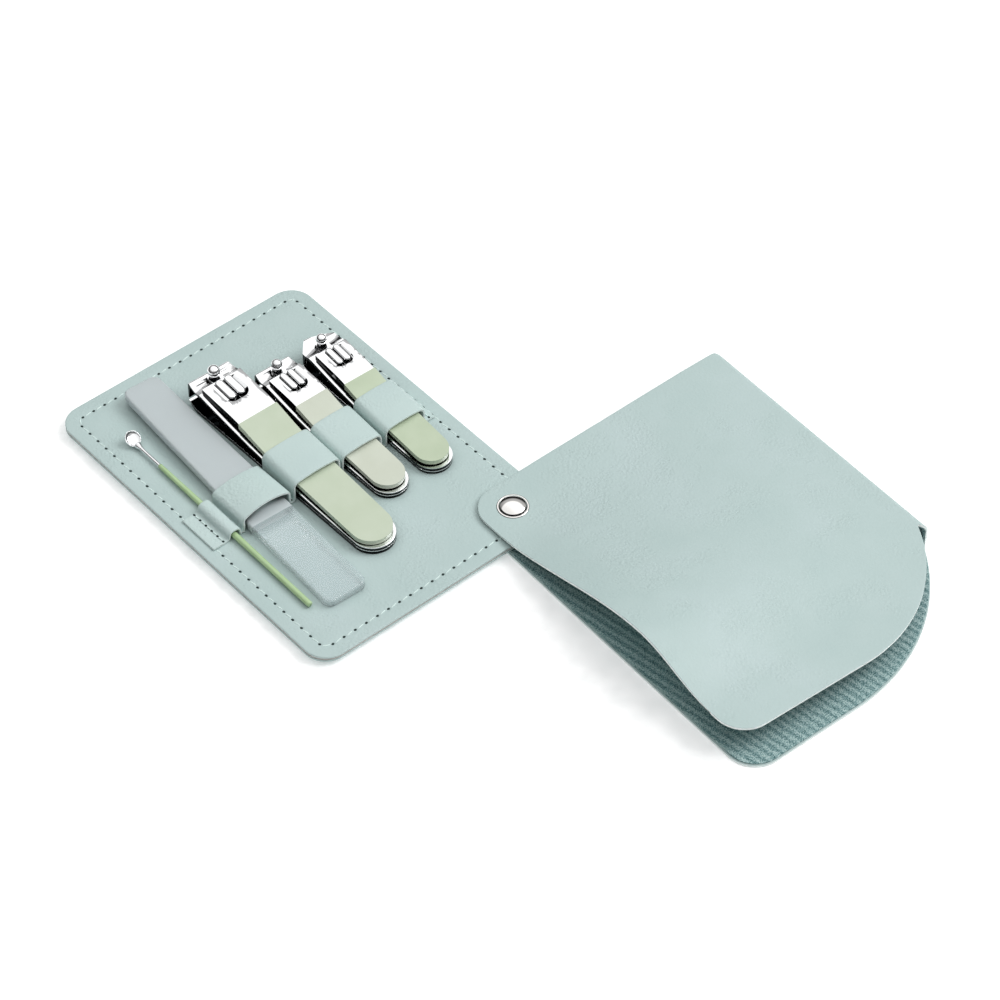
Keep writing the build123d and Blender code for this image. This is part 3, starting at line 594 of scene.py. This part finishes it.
card = dict(
    left=-76.8,
    right=11.2,
    near=-10.1,
    far=112.9,
    corner=7.2,
    leastCorner=0.6,  # of the rings well inside the outline
    bottom=1.4,
    skin=0.7,
    board=0.6,
    boardInset=0.12,
    edge=0.22,  # round of the edges
    outline=(260, 14),  # points on each straight side and at each corner
    topRings=[0.0, 0.02, 0.08, 0.22, 0.6, 1.4, 2.6, 3.4, 3.8, 4.05, 4.3, 4.55, 4.8, 5.2, 6.0, 8.0, 12.0,
              20.0, 30.0, 39.0],  # insets of the rings, close together at the edge and at the stitches
    lowRings=[0.0, 0.02, 0.08, 0.22, 6.0, 20.0, 39.0],
    stitchInset=4.3,
    stitchPitch=3.9,
    stitchLength=2.7,
    stitchDepth=0.23,  # the threads' level below the card's top, from which their middles rise by the lift
    stitchLift=0.11,
    stitchSlant=0.24,
    holeDepth=0.19,
    hole=(1.3, 1.6),  # width and length of a needle hole
    valley=(0.10, 0.9),  # depth and half width of the groove that the stitches pull
    pit=(0.34, 0.34),  # the same at each needle hole
    pitPower=10,  # how sharply a pit rises again along the row
)


def roundedOutline(inset):
    # points round the card's outline at an inset, counter-clockwise, the same number on each stretch,
    # with the distance of each along it and the whole length
    left, right = card["left"] + inset, card["right"] - inset
    near, far = card["near"] + inset, card["far"] - inset
    radius = max(card["corner"] - inset, card["leastCorner"])
    straight, arc = card["outline"]
    t = np.linspace(0, 1, straight, endpoint=False)[:, None]
    turn = np.linspace(0, math.pi / 2, arc, endpoint=False)
    corners = [(right - radius, near + radius, -90), (right - radius, far - radius, 0),
               (left + radius, far - radius, 90), (left + radius, near + radius, 180)]
    ends = [((left + radius, near), (right - radius, near)), ((right, near + radius), (right, far - radius)),
            ((right - radius, far), (left + radius, far)), ((left, far - radius), (left, near + radius))]
    rows = []
    for (start, end), (cx, cy, first) in zip(ends, corners):
        rows.append(np.array(start) + (np.array(end) - np.array(start)) * t)
        angle = math.radians(first) + turn
        rows.append(np.stack([cx + radius * np.cos(angle), cy + radius * np.sin(angle)], -1))
    points = np.concatenate(rows)
    step = np.linalg.norm(np.roll(points, -1, 0) - points, axis=1)
    return points, np.concatenate([[0], np.cumsum(step)[:-1]]), step.sum()


def cardLayer(name, bottom, thick, inset, materials, stitched=False):
    # one layer of the card: rings from the middle of its top, over the edge, to the middle of its bottom;
    # at the edge a ring drops by edge - sqrt(edge² - (edge - its inset)²)
    topRings = np.array(card["topRings"][::-1])
    insets = np.concatenate([topRings, card["lowRings"]])
    edge = card["edge"]
    drop = edge - np.sqrt(np.maximum(edge**2 - np.maximum(edge - insets, 0) ** 2, 0))
    onTop = np.arange(len(insets)) < len(topRings)
    height = np.where(onTop, bottom + thick - drop, bottom + drop)[:, None]
    rings = np.array([roundedOutline(value + inset)[0] for value in insets])
    if stitched:
        line, along, total = roundedOutline(card["stitchInset"])
        phase = along / total * round(total / card["stitchPitch"])
        pull = (0.5 + 0.5 * np.cos(2 * math.pi * phase)) ** card["pitPower"]
        away = (insets + inset - card["stitchInset"])[:, None]
        groove, pit = [depth * np.exp(-(away / wide) ** 2) for depth, wide in (card["valley"], card["pit"])]
        height = height - np.where(onTop[:, None], groove + pit * pull[None, :], 0)
    height = np.broadcast_to(height, rings.shape[:2])
    grid = np.concatenate([rings, height[..., None]], -1)
    faces = gridFaces(*grid.shape[:2], True)[:, ::-1]
    return makeObject(name, grid.reshape(-1, 3), faces, materials)


stitch = dict(
    radius=0.2,
    sides=6,
    rings=7,
    dip=0.25,  # how far the ends go down into the needle holes
    taper=0.35,  # share of the radius that is pulled in at the ends
)
needle = dict(
    sides=8,
    rings=(0.05, 0.7, 1.0),  # radius of each ring as a share, and its height
    heights=(0.012, 0.01, -0.02),
    step=0.2,  # along the row, to find which way it runs
)


def placesAlong(path, where):
    # x and y at distances along a path of (points, their distances, whole length, closed or not)
    line, along, total, closed = path
    ends = np.concatenate([line, line[:1] if closed else line[-1:]])
    distances = np.append(along, total)
    where = where % total if closed else where
    return np.interp(where, distances, ends[:, 0]), np.interp(where, distances, ends[:, 1])


def stitchRow(path, number, height, length, lift, slant):
    # one short tube per stitch, its middle at height + lift * (1 - t⁴) - dip * t⁶ for t from -1 to 1
    starts = (np.arange(number) + 0.5) / number * path[2]
    t = np.linspace(-1, 1, stitch["rings"])
    x, y = placesAlong(path, starts[:, None] + t * length / 2)
    ahead = np.stack([np.gradient(x, axis=1), np.gradient(y, axis=1)], -1)
    ahead /= np.maximum(np.linalg.norm(ahead, axis=-1, keepdims=True), 1e-9)
    side = np.stack([-ahead[..., 1], ahead[..., 0]], -1)
    x, y = x + side[..., 0] * slant * t, y + side[..., 1] * slant * t
    z = np.broadcast_to(height + lift * (1 - t**4) - stitch["dip"] * t**6, x.shape)
    sides, rings = stitch["sides"], stitch["rings"]
    angle = np.linspace(0, 2 * math.pi, sides, endpoint=False)
    thin = stitch["radius"] * (1 - stitch["taper"] * np.abs(t) ** 3)[None, :, None]
    points = np.stack([x[..., None] + side[..., 0:1] * np.cos(angle) * thin,
                       y[..., None] + side[..., 1:2] * np.cos(angle) * thin,
                       z[..., None] + np.sin(angle) * thin], -1)
    caps = np.array([[0, 3, 2, 1], [0, 5, 4, 3]])
    one = np.concatenate([gridFaces(rings, sides, True), caps, caps[:, ::-1] + (rings - 1) * sides])
    return points.reshape(-1, 3), repeatedFaces(one, number, rings * sides)


def holeRow(path, number, height, wide, long):
    # a shallow cup at each needle hole, painted dark as the shade in the pit: a small fan of rings, sunk in
    # the leatherette
    sides, rings = needle["sides"], len(needle["rings"])
    where = np.linspace(0, path[2], number, endpoint=not path[3])
    x, y = placesAlong(path, where)
    aheadX, aheadY = placesAlong(path, where + needle["step"])
    behindX, behindY = placesAlong(path, where - needle["step"])
    alongX, alongY = aheadX - behindX, aheadY - behindY
    size = np.maximum(np.hypot(alongX, alongY), 1e-9)
    alongX, alongY = (alongX / size)[:, None, None], (alongY / size)[:, None, None]
    angle = np.linspace(0, 2 * math.pi, sides, endpoint=False)
    reach = np.array(needle["rings"])[:, None]
    u, v = np.cos(angle) * reach * long / 2, np.sin(angle) * reach * wide / 2
    gridX = x[:, None, None] + alongX * u - alongY * v
    gridY = y[:, None, None] + alongY * u + alongX * v
    gridZ = np.broadcast_to(height + np.array(needle["heights"])[None, :, None], gridX.shape)
    middle = np.array([[0, 1, 2, 3], [0, 3, 4, 5], [0, 5, 6, 7]])
    one = np.concatenate([gridFaces(rings, sides, True)[:, ::-1], middle])
    return np.stack([gridX, gridY, gridZ], -1).reshape(-1, 3), repeatedFaces(one, number, rings * sides)


cardTop = card["bottom"] + 2 * card["skin"] + card["board"]
cardBack = cardLayer("card_back", card["bottom"], card["skin"], 0.0, [skin])
cardCore = cardLayer("card_core", card["bottom"] + card["skin"], card["board"], card["boardInset"],
                     [boardEdge])
cardFront = cardLayer("card_front", cardTop - card["skin"], card["skin"], 0.0, [skin], stitched=True)
edgeRow = (*roundedOutline(card["stitchInset"]), True)
stitchCount = round(edgeRow[2] / card["stitchPitch"])
points, faces = stitchRow(edgeRow, stitchCount, cardTop - card["stitchDepth"], card["stitchLength"],
                          card["stitchLift"], card["stitchSlant"])
cardThread = makeObject("card_stitches", points, faces, [threadPale])
points, faces = holeRow(edgeRow, stitchCount, cardTop - card["holeDepth"], *card["hole"])
cardHoles = makeObject("card_needle_holes", points, faces, [needleHoleShade])
for piece in (cardBack, cardCore, cardFront, cardThread, cardHoles):
    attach(piece, "card")
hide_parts("card_back_skin")
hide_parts("card_board")
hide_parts("card_front_skin")
print("card built")


# Straps: one has a loop for the file and for each clipper, the other holds the ear pick.
strap = dict(
    near=42.3,
    far=56.8,
    thick=0.8,
    tab=3.4,
    foot=0.9,  # radius at the foot of a loop's walls
    footShare=0.95,  # the most that a foot takes of a narrow valley's half width
    arcs=(7, 10, 12),  # points on a foot, on a shoulder and on half a crown
    air=0.02,  # between the strap and the card
    margin=0.2,
    edge=0.22,  # round of the edges
    rows=24,
    step=0.6,  # between two points along a row
    sag=0.12,  # how far the free edges curl down where the strap stands high
    sagFrom=1.5,  # heights above the card at which the curl starts, and over which it grows
    sagOver=3.0,
)
# inner left and right, inner height near and far, shoulder radius, degrees of crown near and far
toolLoops = [
    (-62.06, -46.68, 4.95, 4.3, 0.9, 24.0, 15.0),
    (-44.07, -28.73, 6.49, 7.40, 1.4, 7.0, 5.0),
    (-26.68, -13.52, 5.87, 6.98, 1.4, 7.0, 5.0),
    (-10.82, 2.40, 5.92, 7.11, 1.4, 7.0, 5.0),
]
earLoop = dict(left=-73.46, right=-62.3, middle=-65.81, half=1.45, height=2.6, shoulder=0.9, crown=10.0,
               thick=0.7, sag=0.05)


def loopPath(loop, at, thick, feet):
    # outside of one raised loop: foot curve, straight wall, shoulder, crowned top, and the same mirrored
    left, right, near, far, shoulder, crownNear, crownFar = loop
    crown = crownNear + (crownFar - crownNear) * at
    high = cardTop + near + (far - near) * at + thick
    base = cardTop + thick
    left, middle, bend = left - thick, (left + right) / 2, shoulder + thick
    footCount, shoulderCount, crownCount = strap["arcs"]
    footArcs = [arcPoints((left - foot, base + foot), foot, -90, 0, footCount) for foot in feet]
    shoulderArc = arcPoints((left + bend, high - bend), bend, 180, 90 + crown, shoulderCount)
    radius = (middle - shoulderArc[-1, 0]) / math.sin(math.radians(crown))
    centre = (middle, shoulderArc[-1, 1] - radius * math.cos(math.radians(crown)))
    top = arcPoints(centre, radius, 90 + crown, 90, crownCount)
    rise, fall = [np.concatenate([arc, shoulderArc, top[1:]]) for arc in footArcs]
    return np.concatenate([rise, fall[::-1][1:] * [-1, 1] + [2 * middle, 0]])


def strapGrid(loops, start, end, thick, inset, sag):
    # a strap across the card: flat tabs and loops, row by row along the card
    at = np.linspace(0, 1, strap["rows"])
    foot = strap["foot"]
    valleys = [(after[0] - before[1]) / 2 - thick for before, after in zip(loops, loops[1:])]  # half widths
    feet = [foot] + [min(foot, half * strap["footShare"]) for half in valleys] + [foot]
    base = cardTop + thick
    rows = []
    for part in at:
        line = [loopPath(loop, part, thick, feet[n:n + 2]) for n, loop in enumerate(loops)]
        rows.append(np.concatenate([[[start + inset, base]]] + line + [[[end - inset, base]]]))
    rows = np.array(rows)
    y = strap["near"] + inset + (strap["far"] - strap["near"] - 2 * inset) * at
    y = np.broadcast_to(y[:, None], rows.shape[:2])
    edge = np.abs(at * 2 - 1)[:, None] ** 6
    high = np.clip(rows[..., 1] - base - strap["sagFrom"], 0, strap["sagOver"]) / strap["sagOver"]
    return np.stack([rows[..., 0], y, rows[..., 1] - sag * edge * high], -1)


def strapObject(name, loops, start, end, thick, sag):
    # points are added along every row where the uninset strap's first row has them over a step apart
    first = strapGrid(loops, start, end, thick, 0.0, sag)[0]
    steps = np.linalg.norm(np.diff(first, axis=0), axis=1) / strap["step"]
    count = np.maximum(1, np.ceil(steps)).astype(int)
    where = np.concatenate([n + np.arange(c) / c for n, c in enumerate(count)] + [[len(count)]])
    index = np.minimum(where.astype(int), len(count) - 1)
    share = (where - index)[None, :, None]

    def gridAt(inset):
        grid = strapGrid(loops, start, end, thick, inset, sag)
        return grid[:, index] * (1 - share) + grid[:, index + 1] * share
    return closedSheet(name, gridAt, thick - strap["air"], strap["edge"], [litStrapSkin, cutEdge])


toolStart = toolLoops[0][0] - strap["thick"] - strap["foot"] - strap["margin"]
toolEnd = toolLoops[-1][1] + strap["thick"] + strap["tab"]
toolStrap = strapObject("tool_strap", toolLoops, toolStart, toolEnd, strap["thick"], strap["sag"])
pickLoop = (earLoop["middle"] - earLoop["half"], earLoop["middle"] + earLoop["half"], earLoop["height"],
            earLoop["height"], earLoop["shoulder"], earLoop["crown"], earLoop["crown"])
pickStrap = strapObject("ear_pick_strap", [pickLoop], earLoop["left"], earLoop["right"], earLoop["thick"],
                        earLoop["sag"])
for piece, node in ((toolStrap, "tool_band"), (pickStrap, "ear_pick_loop")):
    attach(piece, "card")
    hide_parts(node)


seam = dict(
    near=42.9,
    far=56.2,
    pitch=2.9,
    length=2.0,
    lift=0.13,
    slant=0.1,
    hole=(0.75, 0.95),  # width and length of a needle hole
    holeLift=0.03,
    toolStrapAt=(-45.37, -27.70, -12.17, 5.0),  # x of each seam
    pickStrapAt=(-69.6, -63.3),
    clear=0.02,  # above the strap
    points=60,
)


def buildSeams(name, rows):
    # several seams along the card, each at (x, height), as one thread piece and one piece of needle holes
    total = seam["far"] - seam["near"]
    number = round(total / seam["pitch"]) + 1
    threads, holes = [], []
    for x, height in rows:
        along = np.linspace(0, total, seam["points"])
        path = (np.stack([np.full(len(along), x), seam["near"] + along], -1), along, total, False)
        threads.append(stitchRow(path, number - 1, height, seam["length"], seam["lift"], seam["slant"]))
        holes.append(holeRow(path, number, height + seam["holeLift"], *seam["hole"]))
    for suffix, parts, material in (("_stitches", threads, threadPale), ("_needle_holes", holes, needleHoleShade)):
        piece = makeObject(name + suffix, *joinedMeshes(parts), [material])
        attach(piece, "card")


strapFoot = cardTop + seam["clear"]
buildSeams("strap", [(x, strapFoot + strap["thick"]) for x in seam["toolStrapAt"]]
           + [(x, strapFoot + earLoop["thick"]) for x in seam["pickStrapAt"]])
print("straps built")


pick = dict(
    at=(-66.1, 8.3),
    turn=-0.4,
    height=4.55,
    spoon=(2.35, 2.45, 0.8),  # half width, half length and depth of the bowl
    spoonAt=(82.0, 1.1),  # its middle along the pick, and above it
    wall=0.2,
    tilt=34.0,
    spoonPoints=(16, 48),
    rodPoints=(60, 20),
    gripRadii=[(-0.01, 0.01), (0.0, 0.55), (0.25, 0.85), (0.6, 0.92), (20.0, 0.88), (40.0, 0.98),
               (69.0, 0.72), (69.4, 0.5), (69.41, 0.01)],  # (place along the pick, radius)
    stemRadii=[(63.6, 0.02), (63.7, 0.62), (76.0, 0.5), (78.2, 0.6), (79.8, 1.1), (80.6, 0.5), (80.7, 0.02)],
)


def rodGrid(radii):
    # a rod along Y: rings whose radius follows (place, radius) stops
    stops = np.array(radii)
    along, sides = pick["rodPoints"]
    y = np.sort(np.concatenate([stops[:, 0], np.linspace(stops[0, 0], stops[-1, 0], along)]))
    radius = np.interp(y, stops[:, 0], stops[:, 1])[:, None]
    angle = np.linspace(0, 2 * math.pi, sides, endpoint=False)
    return np.stack([radius * np.cos(angle), y[:, None] + 0 * angle, radius * np.sin(angle)], -1)


def spoonGrid():
    # a bowl as rings: from the middle of the hollow up its wall, over the rim, and down the outside,
    # radius = sin a and height = -depth * cos a, then tilted up about X
    wide, long, deep = pick["spoon"]
    thin = pick["wall"] / wide
    rings, sides = pick["spoonPoints"]
    a = np.linspace(0.01, math.pi / 2, rings)
    inner = np.stack([np.sin(a) * (1 - thin), -np.cos(a) * (deep - pick["wall"])], -1)
    rim = np.array([[1 - thin / 2, pick["wall"] / 2]])
    outer = np.stack([np.sin(a[::-1]), -np.cos(a[::-1]) * deep], -1)
    radius, height = np.hsplit(np.concatenate([inner, rim, outer]), 2)
    turn = np.linspace(0, 2 * math.pi, sides, endpoint=False)
    x, y, z = radius * np.cos(turn) * wide, radius * np.sin(turn) * long, height + 0 * turn
    c, s = math.cos(math.radians(pick["tilt"])), math.sin(math.radians(pick["tilt"]))
    along, up = pick["spoonAt"]
    return np.stack([x, y * c - z * s + along, y * s + z * c + up], -1)


def pickPiece(name, grid, material):
    points = turned(grid.reshape(-1, 3), pick["turn"]) + [*pick["at"], pick["height"]]
    piece = makeObject(name, points, gridFaces(*grid.shape[:2], True), [material])
    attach(piece, "ear_pick")
    return piece


pickGrip = pickPiece("pick_grip", rodGrid(pick["gripRadii"]), gripEnamel)
pickStem = pickPiece("pick_stem", rodGrid(pick["stemRadii"]), pickSteel)
pickPiece("pick_spoon", spoonGrid(), pickSteel)
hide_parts("ear_pick_grip")
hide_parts("ear_pick_stem")
print("ear pick built")


rivet = dict(
    base=4.8,
    crown=3.6,  # radius of the dome
    dome=0.95,  # how far it rises
    shoulder=0.7,
    ring=4.62,  # outer radius of the bead
    ringHigh=0.3,
    ringFoot=0.4,  # share of the bead's height below its round
    low=-0.1,
    points=(24, 14, 96),  # on the dome, on each arc, and round
)


def buildRivet():
    # a profile turned about the rivet's axis: a low dome, a shoulder that turns down quarter-round into a
    # groove, a bead round the rim, and a flat foot
    r, h, s = rivet["crown"], rivet["dome"], rivet["shoulder"]
    domePoints, arc, sides = rivet["points"]
    foot, high = rivet["ringHigh"] * rivet["ringFoot"], rivet["ringHigh"] * (1 - rivet["ringFoot"])
    bend = (r**2 + h**2) / (2 * h)
    run = np.linspace(0.01, r, domePoints)
    crown = np.stack([run, s + foot + np.sqrt(bend**2 - run**2) - bend + h], -1)
    lean = math.asin(r / bend)
    centre = (r - s * math.sin(lean), crown[-1, 1] - s * math.cos(lean))
    shoulder = arcPoints(centre, s, 90 - math.degrees(lean), 0, arc)[1:]
    half = (rivet["ring"] - shoulder[-1, 0]) / 2
    bead = arcPoints((rivet["ring"] - half, 0), half, 180, 0, arc)[1:] * [1, high / half] + [0, foot]
    flange = np.array([[rivet["ring"], rivet["low"]], [0.01, rivet["low"]]])
    profile = np.concatenate([crown, shoulder, bead, flange]) + [0, rivet["base"]]
    angle = np.linspace(0, 2 * math.pi, sides, endpoint=False)
    radius, height = profile[:, :1], profile[:, 1:]
    grid = np.stack([radius * np.cos(angle), radius * np.sin(angle), height + 0 * angle], -1)
    faces = gridFaces(*grid.shape[:2], True)[:, ::-1]
    return makeObject("rivet_dome", grid.reshape(-1, 3), faces, [rivetChrome])


rivetDome = buildRivet()
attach(rivetDome, "cover")
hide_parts("rivet_cap")
print("rivet built")


# Dishes: the strips that the press sinks beside the lobes of each lever, inside its window.
levers = {  # each tail's place and, from it, the front edge, the lobes and the window round them
    "large": dict(at=(-36.4, 11.0), yaw=0.0, front=75.2, lobeStart=66.8, tongue=6.0, gap=1.1,
                  high=(10.01, 10.5)),
    "small": dict(at=(-20.1, 24.8), yaw=0.0, front=52.8, lobeStart=45.6, tongue=5.0, gap=0.9,
                  high=(8.695, 9.2)),
    "slant": dict(at=(-4.7, 24.0), yaw=-1.1, front=53.0, lobeStart=45.8, tongue=5.0, gap=0.9,
                  high=(8.697, 9.2)),
}
dish = dict(
    toolRest=3.5,
    thick=0.3,
    edge=0.04,
    left=(0.5, 0.03, 0.05),  # where it starts, and its depth at the outer and the inner side
    right=(1.5, 0.05, 0.6),
    outerAir=0.05,  # kept clear of the window's edge, of the lobe and of the front
    innerAir=0.14,
    frontAir=0.1,
    points=(24, 5),
)


def dishStrip(name, lever, side, start, outer, inner):
    # a strip from the window's edge to the lobe, its depth falling evenly from outer to inner
    half = lever["tongue"] / 2
    alongPoints, acrossPoints = dish["points"]
    outerEdge = side * (half + lever["gap"] + dish["outerAir"])
    innerEdge = side * (half + dish["innerAir"])
    slope = (lever["high"][1] - lever["high"][0]) / (lever["front"] - lever["lobeStart"])

    def gridAt(inset):
        first, last = lever["lobeStart"] + start + inset, lever["front"] - dish["frontAir"] - inset
        share = np.linspace(0, 1, acrossPoints)
        across = outerEdge - side * inset + (innerEdge - outerEdge + 2 * side * inset) * share
        x, y = np.meshgrid(across, np.linspace(first, last, alongPoints))
        top = lever["high"][0] + slope * (y - lever["lobeStart"])
        return np.stack([x, y, top - outer - (inner - outer) * share[None, :] + dish["toolRest"]], -1)

    def placed(points):
        return turned(points, lever["yaw"]) + [*lever["at"], 0]
    return closedSheet(name, gridAt, dish["thick"], dish["edge"], [chrome], placed)


for name, lever in levers.items():
    for word, side in (("left", -1), ("right", 1)):
        strip = dishStrip(name + "_lever_dish_" + word, lever, side, *dish[word])
        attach(strip, name + "_press")
print("dishes built")


# Finishes of the solids that stay as they are.
tumbled = dict(
    edge=0.16,  # round of the clippers' edges, which catches the light
    segments=2,
    sharp=35.0,  # degrees from which an edge is rounded
    joined=0.001,  # points nearer than this are one
)
finishes = {
    "rivet_post": rivetChrome, "glass_file": etchedGlass,
    "large_lever_enamel": enamelGreen, "small_lever_enamel": enamelBeige, "slant_lever_enamel": enamelSage,
}
for name in levers:
    finishes[name + "_pin"] = pinChrome
    finishes[name + "_upper_arm"] = armChrome
    for part in ("lower_arm", "lever", "tail_rivet"):
        finishes[name + "_" + part] = chrome
for name, material in finishes.items():
    mesh = nodes[name].data
    mesh.materials.clear()
    mesh.materials.append(material)
    if material in (chrome, armChrome):
        weld = nodes[name].modifiers.new("weld", "WELD")
        weld.merge_threshold = tumbled["joined"] / 1000
        bevel = nodes[name].modifiers.new("tumbled_edge", "BEVEL")
        bevel.width = tumbled["edge"] / 1000
        bevel.segments = tumbled["segments"]
        bevel.limit_method = "ANGLE"
        bevel.angle_limit = math.radians(tumbled["sharp"])
        bevel.use_clamp_overlap = True
        bevel.harden_normals = True
print("finishes set")


studio = dict(
    floor="#E9EAEA",
    floorLight="#F8F8F8",
    floorReach=3000.0,
    tooth=5.0,  # mm across one cloud of the paper
    glow=0.28,  # the sheet is lit from below too, so shadows on it stay faint
    backdrop=0.93,  # what the camera sees past the sheet
    horizon=0.02,  # brightness of the dark room low down, of the walls' wash and of the softboxes overhead
    wash=0.5,
    overhead=1.27,
    washSide=(-0.35, 0.25, 0.45),  # the wash fades towards -X: from, to and what is left of it
    washFrom=(0.27, 0.45),  # heights, as the sine of the elevation, where each begins and is full
    overheadFrom=(0.57, 0.7),
    key=24.0,
    keyPlace=(1.35, -0.8, 1.7),  # m
    keySize=1.4,  # m
)


def buildFloor():
    # matt white paper: a faint tooth, no shine, evenly bright
    material, tree, shader, place = newMaterial("floor_paper", {
        "Roughness": 0.9, "Specular IOR Level": 0.1, "Emission Color": (1, 1, 1, 1),
        "Emission Strength": studio["glow"]})
    tooth = addNode(tree, "TexNoise", {"Scale": 1000 / studio["tooth"]}, {"Vector": place})
    shade = addNode(tree, "ValToRGB", links={0: tooth}, stops=[
        (0.3, studio["floor"]), (0.7, studio["floorLight"])])
    feed(tree, shader, {"Base Color": shade})
    corners = np.array([[-1, -1, 0], [1, -1, 0], [1, 1, 0], [-1, 1, 0]]) * studio["floorReach"]
    makeObject("floor", corners, np.array([[0, 1, 2, 3]]), [material])


def buildWorld():
    # soft studio light by direction: a dark room below, the walls' wash from a height up, softboxes overhead
    world = bpy.data.worlds.new("studio")
    scene.world = world
    world.use_nodes = True
    tree = world.node_tree
    tree.nodes.clear()
    parts = addNode(tree, "SeparateXYZ", links={0: addNode(tree, "TexCoord").outputs["Generated"]})

    def ramp(source, first, last, low, high):
        # rises from low to high along one part of the direction
        settings = {"interpolation_type": "SMOOTHSTEP", "From Min": first, "From Max": last,
                    "To Min": low, "To Max": high}
        return addNode(tree, "MapRange", settings, {"Value": parts.outputs[source]})

    wash = ramp("Z", *studio["washFrom"], studio["horizon"], studio["wash"])
    overhead = ramp("Z", *studio["overheadFrom"], 0.0, studio["overhead"] - studio["wash"])
    side = ramp("X", *studio["washSide"], 1.0)
    bright = addNode(tree, "Math", {"operation": "MULTIPLY_ADD"}, {0: wash, 1: side, 2: overhead})
    seen = addNode(tree, "LightPath").outputs["Is Camera Ray"]
    strength = addNode(tree, "Mix", {"data_type": "FLOAT", 3: studio["backdrop"]}, {0: seen, 2: bright})
    lamp = addNode(tree, "Background", {"Color": (1, 1, 1, 1)}, {"Strength": strength})
    addNode(tree, "OutputWorld", links={"Surface": lamp})


def buildKey():
    # one round softbox, aimed at the case
    data = bpy.data.lights.new("softbox_key", "AREA")
    data.shape = "DISK"
    data.size = studio["keySize"]
    data.energy = studio["key"]
    lamp = bpy.data.objects.new("softbox_key", data)
    scene.collection.objects.link(lamp)
    lamp.location = studio["keyPlace"]
    lamp.rotation_euler = (-Vector(studio["keyPlace"])).to_track_quat("-Z", "Y").to_euler()


shot = dict(azimuth=-40.64, elevation=46.73, distance=1.0, target=(-0.00029, 0.00527, 0.0034), lens=127.67,
            sensor=36.0, farthest=20.0)


def buildCamera():
    azimuth, elevation = math.radians(shot["azimuth"]), math.radians(shot["elevation"])
    back = Vector((math.sin(azimuth) * math.cos(elevation), -math.cos(azimuth) * math.cos(elevation),
                   math.sin(elevation)))
    data = bpy.data.cameras.new("camera")
    data.lens = shot["lens"]
    data.sensor_width = shot["sensor"]
    data.clip_end = shot["farthest"]
    camera = bpy.data.objects.new("camera", data)
    scene.collection.objects.link(camera)
    camera.location = Vector(shot["target"]) + back * shot["distance"]
    camera.rotation_euler = (-back).to_track_quat("-Z", "Y").to_euler()
    scene.camera = camera


buildFloor()
buildWorld()
buildKey()
buildCamera()
scene.view_settings.view_transform = "Standard"
print("stage ready")
